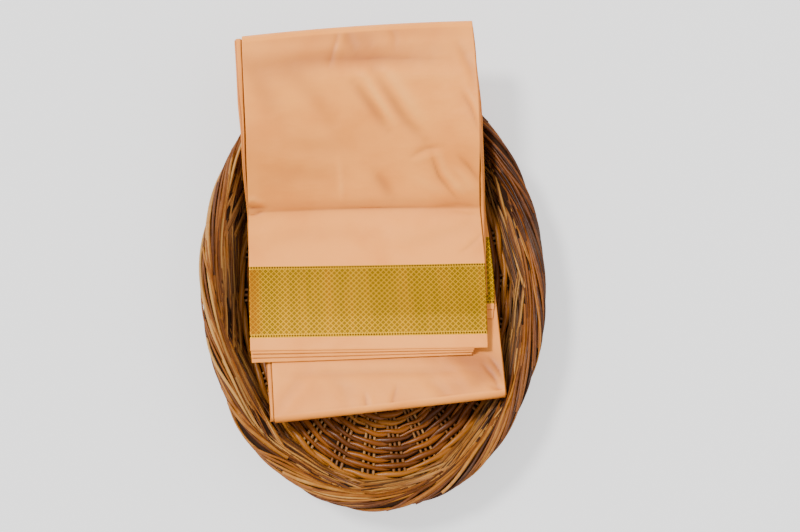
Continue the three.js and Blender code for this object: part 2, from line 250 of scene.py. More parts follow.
# Lines across the pad where a stretch starts, ends or turns: y at its left and right edges, and
# how far its middle bows out.
acrossLines = {
    "spine": (-118.6, -107.5, 0), "farFold": (206.1, 209.1, 4.2), "seam": (148.7, 141.3, 0),
    "borderFar": (19.0, 9.4, 0), "borderNear": (-45.2, -56.0, 0), "upperEdge": (-55.9, -67.3, 0),
    "hiddenEnd": (-8, -18, 0), "innerBorderFar": (47.8, 36.8, 0), "innerBorderNear": (-14.2, -25.2, 0),
    "innerStep": (-19.3, -30.3, 0), "innerEdge": (-27, -38, 0),
}

# Lifts off the middle surface, along its normal. leaf and cover are how thick a leaf is on top and
# round the underside, and gap keeps leaves apart.
lift = {
    "lowerOuter": -8.7, "lowerInner": -3.0, "lowerLeaf": -1.5, "innerLeaf": 1.2,
    "upperInner": 1.5, "upperOuter": 8.4, "upperLeaf": 10.2, "leaf": 1.0, "cover": 1.2, "gap": 0.3,
}
spineBulge = {"depth": 2.6, "reach": 30}    # the underside's bulge, which fades from the near fold
edgeSag = 0.085    # how much a leaf sinks for each millimetre it reaches past the inner ones
spineDepth = lift["lowerLeaf"] - lift["lowerOuter"] + lift["gap"] + lift["cover"]
spineRadius = (spineDepth + spineBulge["depth"]) / 2
spineCentre = lift["lowerLeaf"] - spineRadius
foldMiddle = (lift["lowerInner"] + lift["upperInner"]) / 2


# A smooth curve through one column of a table.
def through(table, column, y):
    ys, vs = np.array(table["y"], float), np.array(table[column], float)
    steps = np.diff(ys)
    rises = np.diff(vs) / steps
    inside = (rises[:-1] * steps[1:] + rises[1:] * steps[:-1]) / (steps[:-1] + steps[1:])
    slopes = np.concatenate([rises[:1], inside, rises[-1:]])
    y = np.clip(y, ys[0], ys[-1])
    i = np.clip(np.searchsorted(ys, y, side="right") - 1, 0, len(steps) - 1)
    t = (y - ys[i]) / steps[i]
    return ((2 * t**3 - 3 * t**2 + 1) * vs[i] + (t**3 - 2 * t**2 + t) * steps[i] * slopes[i]
            + (3 * t**2 - 2 * t**3) * vs[i + 1] + (t**3 - t**2) * steps[i] * slopes[i + 1])


def middleHeight(x, y):
    place = y + padForm["skew"] * x
    left, centre, right = [through(padForm["heights"], c, place) for c in ("left", "centre", "right")]
    k = x / padForm["halfWidth"]
    return centre + (right - left) / 2 * k + ((left + right) / 2 - centre) * k * k


def middleNormal(x, y):
    near = 0.5    # the slope is taken over this far each way
    slopeAcross = (middleHeight(x + near, y) - middleHeight(x - near, y)) / (2 * near)
    slopeAlong = (middleHeight(x, y + near) - middleHeight(x, y - near)) / (2 * near)
    normal = np.stack([-slopeAcross, -slopeAlong, np.ones_like(x)], -1)
    return normal / np.linalg.norm(normal, axis=-1, keepdims=True)


def lifted(x, y, height):
    return np.stack([x, y, middleHeight(x, y)], -1) + middleNormal(x, y) * np.asarray(height)[..., None]


def lineY(line, x):
    left, right, bow = line
    k = x / padForm["halfWidth"]
    return left + (right - left) * (k + 1) / 2 + bow * (1 - k * k)


def shifted(line, amount):
    return (line[0] + amount, line[1] + amount, line[2])


def blendLines(first, last, share):
    return tuple(a + (b - a) * share for a, b in zip(first, last))


# Where a line across the pad meets a side edge.
def edgePlace(edges, line, side):
    x = -padForm["halfWidth"] if side == "left" else padForm["halfWidth"]
    for _ in range(4):    # each time nearer to where they meet
        x = float(through(edges, side, np.array(lineY(line, x))))
    return x


leafInsets = (0, 0.35, 0.9)    # how far in from a leaf's side its first points are


# A row of places where a line crosses the pad between two side edges, closer at the sides.
def crossing(edges, line, count, insets=leafInsets):
    left, right = edgePlace(edges, line, "left"), edgePlace(edges, line, "right")
    inside = np.linspace(left + insets[-1], right - insets[-1], count - 2 * len(insets) + 2)
    x = np.concatenate([left + np.array(insets[:-1]), inside, right - np.array(insets[:-1])[::-1]])
    return x, lineY(line, x)


def sagAt(x, y):
    return edgeSag * np.maximum(0, lineY(acrossLines["innerEdge"], x) - y)


def bulgeAt(x, y):
    reach = np.maximum(0, y - lineY(shifted(acrossLines["spine"], spineRadius), x)) / spineBulge["reach"]
    return spineBulge["depth"] * np.exp(-reach**2)


# A crease: how deep its trough is (negative for a ridge), its half width and its route over the
# leaf. Its trough is painted with shade as dark as it is deep, and a ridge with a painted
# highlight, unless another amount of painted shade is named. A fold is a sharp crease, a V.
def crease(depth, width, *route, shade=None, sharp=False):
    return {"depth": depth, "shade": depth if shade is None else shade, "width": width,
            "route": np.array(route, float), "sharp": sharp}


def fold(depth, width, *route, shade=None):
    return crease(depth, width, *route, shade=shade, sharp=True)


# Creases with no depth are only painted shade: broad darker bands across the cloth.
creases = {
    "upper": [
        crease(1.3, 6.5, (-101, 187), (-60, 190), (-27, 191), (17, 189), (60, 186)),
        crease(-0.8, 6.0, (-101, 201), (-20, 203), (40, 203), (98, 198)),
        crease(-0.5, 6.0, (-30, 180), (20, 176), (90, 170)),
        fold(0.5, 1.7, (-30, 191), (0, 190), (30, 189), (80, 184), shade=1.1),
        crease(0.0, 15.0, (-100, 198), (0, 200), (100, 196), shade=0.75),
        crease(0.0, 22.0, (-104, 205), (0, 210), (104, 206), shade=1.15),
        crease(0.5, 8.0, (-10, 204), (4, 205), (12, 198), shade=1.1),
        crease(0.4, 9.0, (-90, 184), (-70, 180), (-45, 183), shade=0.9),
        fold(1.1, 2.0, (-17, 218), (-21, 205), (-28, 186)),
        crease(-0.6, 3.0, (-14, 218), (-17, 205), (-22, 188)),
        crease(1.0, 5.0, (-9, 216), (-10, 206), (-3, 195)),
        crease(0.7, 3.6, (28, 216), (31, 206), (30, 198)),
        crease(1.8, 4.6, (-7, 171), (7, 153), (21, 134), shade=2.2),
        crease(-1.3, 4.6, (3, 176), (15, 157), (28, 139)),
        crease(1.6, 4.8, (11, 179), (25, 157), (36, 141), (54, 123), shade=2.1),
        crease(-1.0, 5.6, (23, 180), (38, 158), (52, 138)),
        crease(1.3, 10.0, (-99, 192), (-88, 168), (-76, 146)),
        crease(0.9, 8.0, (-62, 180), (-40, 160), (-26, 136)),
        crease(1.2, 5.0, (7, 101), (14, 92), (22, 81), shade=1.8),
        fold(1.5, 1.7, (59, 112), (65, 93), (80, 76), shade=3.0),
        crease(-0.9, 3.2, (65, 114), (71, 96), (85, 81)),
        fold(1.1, 1.8, (41, 112), (54, 117), (70, 117), shade=1.8),
        crease(-0.6, 3.0, (42, 107), (55, 111), (68, 111)),
        fold(1.4, 1.7, (83, 108), (93, 98), (101, 86), shade=2.4),
        crease(-0.6, 3.2, (78, 101), (87, 92), (95, 82)),
        fold(1.4, 1.7, (88, 155), (96, 141), (102, 124), shade=2.2),
        crease(-0.7, 2.6, (92, 159), (99, 146), (102, 132)),
        crease(1.2, 4.0, (86, 196), (95, 178), (100, 160)),
        crease(-0.8, 2.6, (-25, 113), (-24, 96), (-24, 79)),
        crease(0.7, 7.0, (-72, 128), (-40, 122), (0, 126)),
        crease(0.9, 8.0, (-94, 96), (-60, 103), (-20, 100)),
        crease(-0.6, 5.0, (40, 97), (60, 84), (99, 82)),
        fold(1.8, 1.8, (-110, 79), (-103, 77), (-92, 77), shade=3.4),
        fold(1.4, 1.6, (-110, 70), (-102, 70), (-95, 74), shade=2.6),
        crease(-1.1, 2.4, (-110, 83), (-103, 85), (-95, 82)),
        fold(2.0, 7.0, (-116, 73), (-35, 72), (28, 69.5), (112, 65), shade=0.8),
        fold(0.7, 1.4, (-120, 73.6), (-35, 72.6), (28, 70.1), (116, 65.6), shade=2.2),
        crease(0.0, 4.5, (-116, 79), (-35, 78), (28, 75.5), (112, 71), shade=0.9),
        fold(0.6, 1.6, (62, 70), (80, 71), (98, 68), shade=1.6),
        fold(0.6, 1.5, (78, 21), (90, 29), (100, 39), shade=1.2),
        crease(0.5, 8.0, (-98, 40), (-50, 47), (10, 42)),
        crease(0.5, 7.0, (20, 30), (60, 37), (99, 50)),
        crease(0.4, 2.6, (70, 64), (84, 58), (98, 57)),
    ],
    "lower": [
        crease(0.5, 5.0, (-92, -113), (-83, -97), (-62, -73)),
        crease(-0.35, 4.0, (-85, -113), (-73, -98), (-54, -77)),
        crease(0.9, 4.0, (-82, -77), (0, -80), (86, -85)),
        fold(0.9, 1.8, (-13, -98), (-12, -106), (-11, -116), shade=1.8),
        crease(-0.4, 2.2, (-8, -99), (-7, -107), (-6, -116)),
        fold(1.2, 1.7, (15, -94), (12, -103), (8, -115), shade=2.0),
        crease(0.8, 6.0, (40, -86), (52, -98), (60, -112)),
        fold(1.5, 1.8, (91, -79), (99, -90), (104, -104), shade=2.2),
        fold(1.2, 1.6, (97, -73), (103, -82), (107, -93), shade=2.0),
        fold(0.35, 1.5, (-98, -113), (-30, -110.5), (30, -107.5), (112, -102), shade=1.1),
        crease(0.4, 8.0, (58, -100), (84, -94), (104, -88), shade=1.6),
        crease(0.3, 13.0, (54, -68), (84, -76), (112, -80), shade=2.8),
        crease(0.0, 5.0, (-98, -58), (0, -66), (90, -74), shade=0.9),
        crease(0.0, 22.0, (-96, -92), (0, -92), (100, -90), shade=0.55),
        crease(1.1, 2.0, (95, -98), (101, -101), (107, -104)),
        crease(-0.8, 6.0, (60, -72), (72, -86), (80, -102)),
        crease(0.6, 7.0, (-42, -80), (-30, -92), (-27, -106)),
    ],
    "under": [
        crease(1.0, 6.0, (-96, 20), (-30, 34), (40, 26)),
        crease(1.1, 7.0, (-20, -90), (0, -40), (30, -10)),
        crease(1.0, 6.0, (60, 20), (80, 60), (84, 110)),
        crease(1.3, 6.0, (-84, 150), (-60, 178), (-30, 198)),
        fold(1.4, 3.4, (10, 160), (34, 176), (44, 206)),
        crease(-0.8, 6.0, (50, 150), (70, 172), (96, 184)),
        crease(-0.8, 7.0, (-98, 190), (0, 193), (98, 188)),
    ],
}
creaseRoute = {"steps": 13, "rounding": 2, "ends": (0.04, 0.96)}


# What the creases of one face add up to at each place: how far they push it in, or how much
# painted shade they lay on it (a painted highlight below zero).
def creaseSum(face, x, y, kind):
    total = np.zeros_like(x)
    for bend in creases[face]:
        corners = bend["route"]
        shares = np.linspace(0, len(corners) - 1, creaseRoute["steps"])
        line = np.stack([np.interp(shares, range(len(corners)), corners[:, k]) for k in (0, 1)], -1)
        for _ in range(creaseRoute["rounding"]):
            line[1:-1] = (line[:-2] + 2 * line[1:-1] + line[2:]) / 4
        nearest, at = np.full_like(x, 1e9), np.zeros_like(x)
        for i, (start, end) in enumerate(zip(line[:-1], line[1:])):
            step = end - start
            t = np.clip(((x - start[0]) * step[0] + (y - start[1]) * step[1]) / (step @ step), 0, 1)
            away = np.hypot(x - start[0] - t * step[0], y - start[1] - t * step[1])
            at = np.where(away < nearest, (i + t) / (len(line) - 1), at)
            nearest = np.minimum(nearest, away)
        fade = np.sin(np.pi * np.clip(at, *creaseRoute["ends"])) ** 0.5
        reach = nearest / bend["width"]
        total += bend[kind] * fade * (np.exp(-reach) if bend["sharp"] else np.exp(-reach**2))
    return total


def creaseDepth(face, x, y):
    return creaseSum(face, x, y, "depth")


# The grid of a leaf's mesh: points across it, millimetres between its rows and steps in a turn. A
# rounded end has a tip this share as thick, edges past the sharp angle stay hard, and a leaf's
# hidden face, which shows in the gaps between leaves, gets this much painted shade.
leafGrid = {"columns": 146, "step": 1.55, "turnSteps": 16, "tip": 0.35, "sharp": 55, "hiddenShade": 3.2}


# A place on the cloth is how far across it is, how far along, and how much painted shade it has.
def makeMesh(name, points, faces, places):
    mesh = bpy.data.meshes.new(name)
    mesh.from_pydata((np.asarray(points) * mm).tolist(), [], faces)
    mesh.attributes.new("clothPlace", "FLOAT_VECTOR", "POINT").data.foreach_set(
        "vector", np.asarray(places, np.float32).ravel())
    mesh.validate()
    mesh.set_sharp_from_angle(angle=math.radians(leafGrid["sharp"]))
    for polygon in mesh.polygons:
        polygon.use_smooth = True
    piece = bpy.data.objects.new(name, mesh)
    bpy.context.scene.collection.objects.link(piece)
    return piece


# The sides of a skin over loops of equal length.
def loftFaces(rows, size, start=0):
    faces = []
    for r in range(rows - 1):
        here, after = start + r * size, start + (r + 1) * size
        for j in range(size):
            k = (j + 1) % size
            faces.append((here + j, here + k, after + k, after + j))
    return faces


# Turns all faces round where they look inward, which makes the volume inside negative.
def facingOut(points, faces):
    fours = np.array([face for face in faces if len(face) == 4])
    a, b, c, d = points[fours.T]
    volume = float(np.einsum("ij,ij->", a, np.cross(b, c)) + np.einsum("ij,ij->", a, np.cross(c, d)))
    return [face[::-1] for face in faces] if volume < 0 else faces


# A leaf of cloth as a thin closed shell. outer and inner are grids of points, rows along the
# cloth, and place is the place on the cloth of each of them.
def leafShell(name, leaves):
    points, faces, places = [], [], []
    for outer, inner, place, roundStart, roundEnd in leaves:
        half = np.linalg.norm(outer - inner, axis=-1, keepdims=True) / 2
        outer, inner, place, half = list(outer), list(inner), list(place), list(half)
        for end, wanted in ((0, roundStart), (-1, roundEnd)):
            if not wanted:
                continue
            beside = 1 if end == 0 else -2
            middle = (outer[end] + inner[end]) / 2
            ahead = middle - (outer[beside] + inner[beside]) / 2
            ahead = ahead / np.linalg.norm(ahead, axis=-1, keepdims=True)
            across = (outer[end] - inner[end]) / 2
            tip = middle + ahead * half[end]
            row = (tip + leafGrid["tip"] * across, tip - leafGrid["tip"] * across, place[end], half[end])
            for rows, value in zip((outer, inner, place, half), row):
                rows.insert(0 if end == 0 else len(rows), value)
        count = len(outer[0])
        start = len(points)
        for o, i, p, h in zip(outer, inner, place, half):
            left, right = (o[0] + i[0]) / 2, (o[-1] + i[-1]) / 2
            left = left + (o[0] - o[1]) / np.linalg.norm(o[0] - o[1]) * h[0]
            right = right + (o[-1] - o[-2]) / np.linalg.norm(o[-1] - o[-2]) * h[-1]
            points += [*o, right, *i[::-1], left]
            # a leaf's hidden face gets painted shade, so the gaps between leaves look dark
            under = p + np.array([0, 0, leafGrid["hiddenShade"]])
            places += [*p, (p[-1] + under[-1]) / 2, *under[::-1], (p[0] + under[0]) / 2]
        size = 2 * count + 2
        faces += loftFaces(len(outer), size, start)
        for row, way in ((0, -1), (len(outer) - 1, 1)):
            base = start + row * size
            last = base + size - 1
            cap = [(base + j, base + j + 1, last - 2 - j, last - 1 - j) for j in range(count - 1)]
            cap += [(base + count - 1, base + count, base + count + 1), (last - 1, last, base)]
            faces += [face[::way] for face in cap]
    points = np.array(points)
    return makeMesh(name, points, facingOut(points, faces), places)


def rowsFor(first, last):
    length = abs((last[0] + last[1]) - (first[0] + first[1])) / 2
    return max(3, int(round(length / leafGrid["step"])) + 1)


# A run of leaf between two lines across the pad: grids of outer and inner points, and of x and
# the creases' painted shade. coarse divides its rows and its columns.
def leafRun(edges, first, last, outerLift, innerLift, face=None, coarse=(1, 1)):
    outer, inner, xAndShade = [], [], []
    for share in np.linspace(0, 1, rowsFor(first, last) // coarse[0]):
        x, y = crossing(edges, blendLines(first, last, share), leafGrid["columns"] // coarse[1])
        outer.append(lifted(x, y, outerLift(x, y)))
        inner.append(lifted(x, y, innerLift(x, y)))
        xAndShade.append(np.stack([x, creaseSum(face, x, y, "shade") if face else 0 * x], -1))
    return outer, inner, xAndShade


# The angles of the steps of a half turn, and the points of one step at a radius round a line.
def turnAngles(steps):
    return [-math.pi / 2 + math.pi * step / steps for step in range(1, steps)]


def turnedPoints(x, y, way, angle, centre, radius):
    normal = middleNormal(x, y)
    along = np.array([0.0, way, 0.0])
    ahead = along - normal * (normal @ along)[:, None]
    ahead /= np.linalg.norm(ahead, axis=-1, keepdims=True)
    reach = normal * math.sin(angle) + ahead * math.cos(angle)
    return lifted(x, y, np.full_like(x, centre)) + reach * radius


# A turn of leaf round a line across the pad, from under it to above it.
def leafTurn(edges, line, centre, outerRadius, innerRadius, way):
    outer, inner, xAndShade = [], [], []
    x, y = crossing(edges, line, leafGrid["columns"])
    for step, angle in enumerate(turnAngles(leafGrid["turnSteps"]), 1):
        share = step / leafGrid["turnSteps"]
        outer.append(turnedPoints(x, y, way, angle, centre, outerRadius(share)))
        inner.append(turnedPoints(x, y, way, angle, centre, innerRadius(share)))
        xAndShade.append(np.stack([x, 0 * x], -1))
    return outer, inner, xAndShade


# Joins runs into one leaf and gives every point its place on the cloth.
def joinRuns(runs, start=0.0, rounded=(True, True)):
    outer = np.array([row for run in runs for row in run[0]])
    inner = np.array([row for run in runs for row in run[1]])
    xAndShade = np.array([row for run in runs for row in run[2]])
    middle = outer[:, outer.shape[1] // 2]
    along = start + np.concatenate([[0], np.cumsum(np.linalg.norm(np.diff(middle, axis=0), axis=1))])
    place = np.stack([xAndShade[..., 0], np.repeat(along[:, None], xAndShade.shape[1], 1), xAndShade[..., 1]], -1)
    return (outer, inner, place, *rounded)


def clothSize(leaf):
    outer = leaf[0]
    width = float(np.mean(np.linalg.norm(np.diff(outer, axis=1), axis=-1).sum(1)))
    length = float(np.mean(np.linalg.norm(np.diff(outer, axis=0), axis=-1).sum(0)))
    return width * mm, length * mm


def reverseRun(run):
    return tuple(rows[::-1] for rows in run)


def level(height):
    return lambda x, y: np.full_like(x, height)


def creased(height, face, way=-1):
    return lambda x, y: height + way * creaseDepth(face, x, y)


def upperLift(x, y):
    return lift["upperLeaf"] - sagAt(x, y) - creaseDepth("upper", x, y)


def upperRun(first, last):
    return leafRun(sideEdges["upperLeaf"], acrossLines[first], acrossLines[last],
                   upperLift, lambda x, y: upperLift(x, y) - lift["leaf"], "upper")


panelStart = 76    # how far along the cloth the panel starts, past its selvedge and border
underLift = lift["lowerOuter"] - lift["gap"]


def dressUpperPanel():
    farLeaf, farFold, cover = sideEdges["farLeaf"], acrossLines["farFold"], lift["cover"]
    low, high = foldMiddle - underLift, lift["upperLeaf"] - cover - foldMiddle
    top = upperRun("borderFar", "farFold")
    turned = leafTurn(farLeaf, farFold, foldMiddle,
                      lambda share: low + (high - low) * share + cover,
                      lambda share: low + (high - low) * share, 1)
    below = leafRun(farLeaf, acrossLines["seam"], farFold,
                    creased(underLift - cover, "under", 1), level(underLift), "under")
    return [joinRuns([top, reverseRun(turned), reverseRun(below)], panelStart, (False, True))]


def dressUpperBorder():
    return [joinRuns([upperRun("borderNear", "borderFar")], 0, (False, False))]


def dressUpperSelvedge():
    return [joinRuns([upperRun("upperEdge", "borderNear")], 0, (True, False))]


def dressLowerPanel():
    def under(x, y):
        return underLift - bulgeAt(x, y)

    lowerLeaf = sideEdges["lowerLeaf"]
    spineTurn = shifted(acrossLines["spine"], spineRadius)
    top = leafRun(lowerLeaf, spineTurn, acrossLines["innerBorderFar"], creased(lift["lowerLeaf"], "lower"),
                  creased(lift["lowerLeaf"] - lift["leaf"], "lower"), "lower")
    turned = leafTurn(lowerLeaf, spineTurn, spineCentre,
                      lambda share: spineRadius, lambda share: spineRadius - lift["leaf"], -1)
    below = leafRun(lowerLeaf, spineTurn, acrossLines["seam"],
                    lambda x, y: under(x, y) - lift["cover"] + creaseDepth("under", x, y),
                    under, "under", coarse=(2, 1))
    return [joinRuns([reverseRun(top), reverseRun(turned), below], 0, (False, True))]


# Selvedge leaves under the top one, reaching a little further out. Each is two cloths, which
# ripple a little, and the second is this much deeper and further back.
selvedgeRows = {
    "selvedge_leaf_2": {"top": 8.9, "edge": (-58.2, -68.4, 0), "right": 84.0},
    "selvedge_leaf_3": {"top": 6.6, "edge": (-61.2, -69.4, 0), "right": 83.0},
    "selvedge_leaf_4": {"top": 4.3, "edge": (-64.9, -70.4, 0), "right": 81.6},
}
selvedgeForm = {
    "y": (-18, -8), "left": (-109.2, -108.8, -108.6), "right": (97.6, 98.0),
    "cloths": ((0.0, 0.0), (1.05, 0.9)), "thick": 0.85, "ripple": 0.12, "rippleLength": 17,
}


def rippled(height, phase):
    form = selvedgeForm
    return lambda x, y: height - sagAt(x, y) - form["ripple"] * np.sin(x / form["rippleLength"] + phase)


def dressSelvedge(row):
    form = selvedgeForm
    edges = {"y": (row["edge"][1], *form["y"]), "left": form["left"],
             "right": (row["right"], *form["right"])}
    last = shifted(acrossLines["hiddenEnd"], -lift["gap"])
    leaves = []
    for depth, back in form["cloths"]:
        top = row["top"] - depth
        run = leafRun(edges, shifted(row["edge"], back), last,
                      rippled(top, top), rippled(top - form["thick"], top), coarse=(2, 2))
        leaves.append(joinRuns([run]))
    return leaves


# Leaves between the halves, each two cloths. drop is how much lower and thinner they are.
innerForm = {"thick": 2.4, "between": 0.1, "slack": 0.15, "seam": 0.05}


def dressInner(first, last, drop=0.0, rounded=(False, False)):
    half = (innerForm["thick"] - drop) / 2
    top = lift["innerLeaf"] - drop
    first, last = acrossLines[first], shifted(acrossLines[last], -innerForm["seam"])
    leaves = []
    for height in (top, top - half - innerForm["between"]):
        run = leafRun(sideEdges["innerLeaf"], first, last,
                      level(height), level(height - half + innerForm["slack"]), coarse=(1, 2))
        leaves.append(joinRuns([run], 0, rounded))
    return leaves


# The layers that don't show, as one rounded solid bent double over the far fold. Its sides are a
# stack of folds, each a row of (place in the fold, how far back, painted shade) with a notch between
# that gets deep painted shade. It sinks towards its middle, and a groove runs where the leaf that
# covers it ends, with a band of painted shade along it.
stack = {
    "folds": 7, "notch": 1.5, "notchShade": 4.0, "seed": 11,
    "steady": 0.7, "wander": 0.4, "waves": ((1.0, 23), (0.6, 9)),
    "round": ((0.12, 0.55, 2.4), (0.32, 0.08, 1.3), (0.5, 0.0, 0.9), (0.68, 0.08, 1.3), (0.88, 0.55, 2.4)),
    "columns": 44, "insets": (1.2, 1.7, 2.2, 2.8, 3.4, 4.0, 4.6, 5.2, 5.9, 6.7, 8.0),
    "thick": 6.3, "sideWidth": 3,
    "sink": {"depth": 1.7, "width": 14}, "groove": {"depth": 1.7, "width": 0.9},
    "ledge": {"shade": 0.7, "more": 3.8, "start": 1.1, "width": 1.7},
    "spineAngles": (1.45, 1.2, 0.9, 0.6, 0.3), "spineInset": 1.6, "spineLift": 0.2,
    "rows": {"lower": 96, "turn": 18, "upper": 80},
    "along": {"lower": 300, "turnStep": 1.5, "upperStart": 330, "upper": 215},
}


# How far out, how deep in the stack and how much painted shade each point of a side has.
def foldProfiles():
    rng = np.random.default_rng(stack["seed"])
    folds, sides = stack["folds"], ("left", "right")
    steady = {side: rng.uniform(-stack["steady"], stack["steady"], folds) for side in sides}
    phase = {side: rng.uniform(0, 2 * math.pi, (folds, 2)) for side in sides}

    def profile(side, along):
        points = []
        for k in range(folds):
            swing = sum(size * math.sin(along / length + phase[side][k, n])
                        for n, (size, length) in enumerate(stack["waves"]))
            out = steady[side][k] + stack["wander"] * swing
            if k > 0:
                points.append((-stack["notch"], k / folds, stack["notchShade"]))
            points += [(out - back, (k + share) / folds, shade) for share, back, shade in stack["round"]]
        return np.array(points)
    return profile


def hiddenLayers():
    profile = foldProfiles()
    sink, groove, ledge = stack["sink"], stack["groove"], stack["ledge"]
    lowerInner, upperInner, upperOuter = lift["lowerInner"], lift["upperInner"], lift["upperOuter"]
    loops, places = [], []

    def section(edges, cover, line, at, along):    # one loop round the stack
        for face, side, way in ((0.0, "right", 1), (1.0, "left", -1)):
            x, y = crossing(edges, line, stack["columns"], stack["insets"])
            outside = np.maximum(edgePlace(cover, line, "left") - x, x - edgePlace(cover, line, "right"))
            sunk = (sink["depth"] * np.clip(-outside / sink["width"], 0, 1)
                    + groove["depth"] * np.exp(-(outside / groove["width"]) ** 2))
            # painted shade on the ledge, darkest at the edge of the leaf that covers it
            shade = ledge["shade"] + ledge["more"] * np.clip(ledge["start"] - outside / ledge["width"], 0, 1)
            loops.append(at(x, y, face + (1 - 2 * face) * sunk / stack["thick"])[::way])
            places.append(np.stack([x, 0 * x + along, shade], -1)[::way])
            out, depth, shade = profile(side, along)[::way].T
            x = edgePlace(edges, line, side) + way * out
            loops.append(at(x, lineY(line, x), depth))
            places.append(np.stack([x + way * stack["sideWidth"] * depth, 0 * x + along, shade], -1))

    def lowFace(x, y):
        return lift["lowerOuter"] - bulgeAt(x, y) + stack["spineLift"]

    def lower(x, y, depth):
        return lifted(x, y, lowerInner + (lowFace(x, y) - lowerInner) * depth)

    def upper(x, y, depth):
        return lifted(x, y, upperInner + (upperOuter - upperInner) * depth)

    def turned(angle):
        lowThick, highThick = lowerInner - lift["lowerOuter"], upperOuter - upperInner
        thick = lowThick + (highThick - lowThick) * (angle / math.pi + 0.5)

        def at(x, y, depth):
            radius = (upperInner - lowerInner) / 2 + depth * thick
            return turnedPoints(x, y, 1.0, angle, foldMiddle, radius[:, None])
        return at

    def spineEnd(angle):
        def at(x, y, depth):
            middle = (lowerInner + lowFace(x, y)) / 2
            height = lowerInner + (lowFace(x, y) - lowerInner) * depth
            return lifted(x, y, middle + (height - middle) * math.cos(angle))
        return at

    rows, along = stack["rows"], stack["along"]
    spineTurn, farFold = shifted(acrossLines["spine"], spineRadius), acrossLines["farFold"]
    lowerSides = sideEdges["lowerLayers"], sideEdges["lowerLeaf"]
    upperSides = sideEdges["upperLayers"], sideEdges["upperLeaf"]
    for angle in stack["spineAngles"]:
        line = shifted(spineTurn, -(spineRadius - stack["spineInset"]) * math.sin(angle))
        section(*lowerSides, line, spineEnd(angle), 0)
    for share in np.linspace(0, 1, rows["lower"]):
        section(*lowerSides, blendLines(spineTurn, farFold, share), lower, along["lower"] * share)
    for step, angle in enumerate(turnAngles(rows["turn"]), 1):
        section(*upperSides, farFold, turned(angle), along["lower"] + along["turnStep"] * step)
    for share in np.linspace(0, 1, rows["upper"]):
        line = blendLines(farFold, acrossLines["hiddenEnd"], share)
        section(*upperSides, line, upper, along["upperStart"] + along["upper"] * share)

    columns = stack["columns"]
    size = 2 * (columns + len(profile("left", 0)))
    loopCount = sum(len(loop) for loop in loops) // size
    faces = loftFaces(loopCount, size)
    opposite = size // 2 + columns - 1    # the outer face's point over the inner face's first one
    for row, way in ((0, -1), (loopCount - 1, 1)):
        base = row * size
        far = base + opposite
        cap = [(base + j, base + j + 1, far - j - 1, far - j) for j in range(1, columns - 2)]
        cap.append(tuple(range(base + columns - 2, base + size // 2 + 2)))
        cap.append((*range(far - 1, base + size), base, base + 1))
        faces += [face[::way] for face in cap]
    points = np.concatenate(loops)
    return makeMesh("hiddenLayers", points, facingOut(points, faces), np.concatenate(places))


# light and deep are the colours of painted highlight and painted shade; lighter, lightest, darker and
# darkest say how much of them goes on.
silkLook = {
    "peach": (0.94, 0.330, 0.048), "warm": (0.78, 0.225, 0.022), "deep": (0.30, 0.072, 0.015),
    "light": (1.0, 0.44, 0.10), "lighter": 0.40, "lightest": 0.5, "darker": 0.22, "darkest": 0.82,
    "blotch": {"stretch": (1, 1), "scale": 0.018, "detail": 2.5, "rough": 0.55},
    "blotchRange": (0.40, 0.70), "blotchAmount": 0.50,
    "slub": {"stretch": (0.05, 1.9), "scale": 1.0, "detail": 3.0, "rough": 0.6},
    "slubUp": {"stretch": (1.9, 0.04), "scale": 1.0, "detail": 3.0, "rough": 0.6},
    "slubRange": (0.52, 0.8), "slubUpRange": (0.55, 0.8), "slubAmount": 0.10, "slubHeight": 0.06,
    "soft": {"stretch": (0.03, 0.05), "scale": 1.0, "detail": 3.0, "rough": 0.5}, "softHeight": 2.4,
    "thread": 0.42, "threadHeight": 0.03, "bump": 0.5,
    "roughness": 0.45, "uneven": 0.10, "specular": 0.26,
    "sheen": 0.08, "sheenRoughness": 0.38, "sheenTint": (1, 0.70, 0.45, 1),
}
zariLook = {
    "bright": (0.52, 0.262, 0.0006), "olive": (0.125, 0.067, 0.0002), "orange": (0.22, 0.066, 0.0004),
    "ground": (0.165, 0.080, 0.0003), "dot": (0.05, 0.018, 0.004),
    "lattice": 4.85, "line": 0.165, "lineStrength": 0.94, "crossing": 0.4, "lineCore": 0.55,
    "fine": 2.425, "fineLine": 0.19, "fineStrength": 0.30,
    "streak": {"stretch": (0.06, 0.004), "scale": 1.0, "detail": 3.0, "rough": 0.7},
    "narrow": {"stretch": (0.5, 0.01), "scale": 1.0, "detail": 2.0, "rough": 0.6, "offset": 4.0},
    "groundRange": (0.42, 0.62), "orangeRange": (0.26, 0.40), "orangeStreaks": 0.65,
    "shine": 0.76, "shineRange": (0.36, 0.62), "shineStreaks": 0.16,
    "leftSide": 109, "sideFade": (2, 13), "sideGround": 0.8, "sideWash": 0.55,
    "width": 65.5, "rowInset": 1.6, "row": (1.3, 1.9), "rowStrength": 0.9,
    "dots": 2.3, "dotSize": (0.65, 1.05),
    "thread": 0.5, "threadHeight": 0.05, "dotDepth": 0.10, "bump": 0.7,
    "metallic": 0.70, "patternMetallic": 0.15, "roughness": 0.46, "patternPolish": 0.10, "specular": 0.1,
}
bumpDistance = 0.001


def clothCoordinates(board):
    place = board.node("ShaderNodeAttribute", {"attribute_name": "clothPlace"}, out=1)
    return place.part(0), place.part(1), place.part(2)


# Noise stretched across and along the cloth.
def clothNoise(board, across, along, look):
    wide, long = look["stretch"]
    place = board.vector(across * wide, along * long, look.get("offset", 0.0))
    return board.noise(place, look["scale"], look["detail"], look["rough"])


# Threads of a plain weave, as a height from 0 to 1.
def threads(across, along, pitch):
    warp = (across * (2 * math.pi / pitch)).math("SINE")
    weft = (along * (2 * math.pi / pitch)).math("SINE")
    return (warp * weft) * 0.25 + (warp + weft) * 0.12 + 0.5


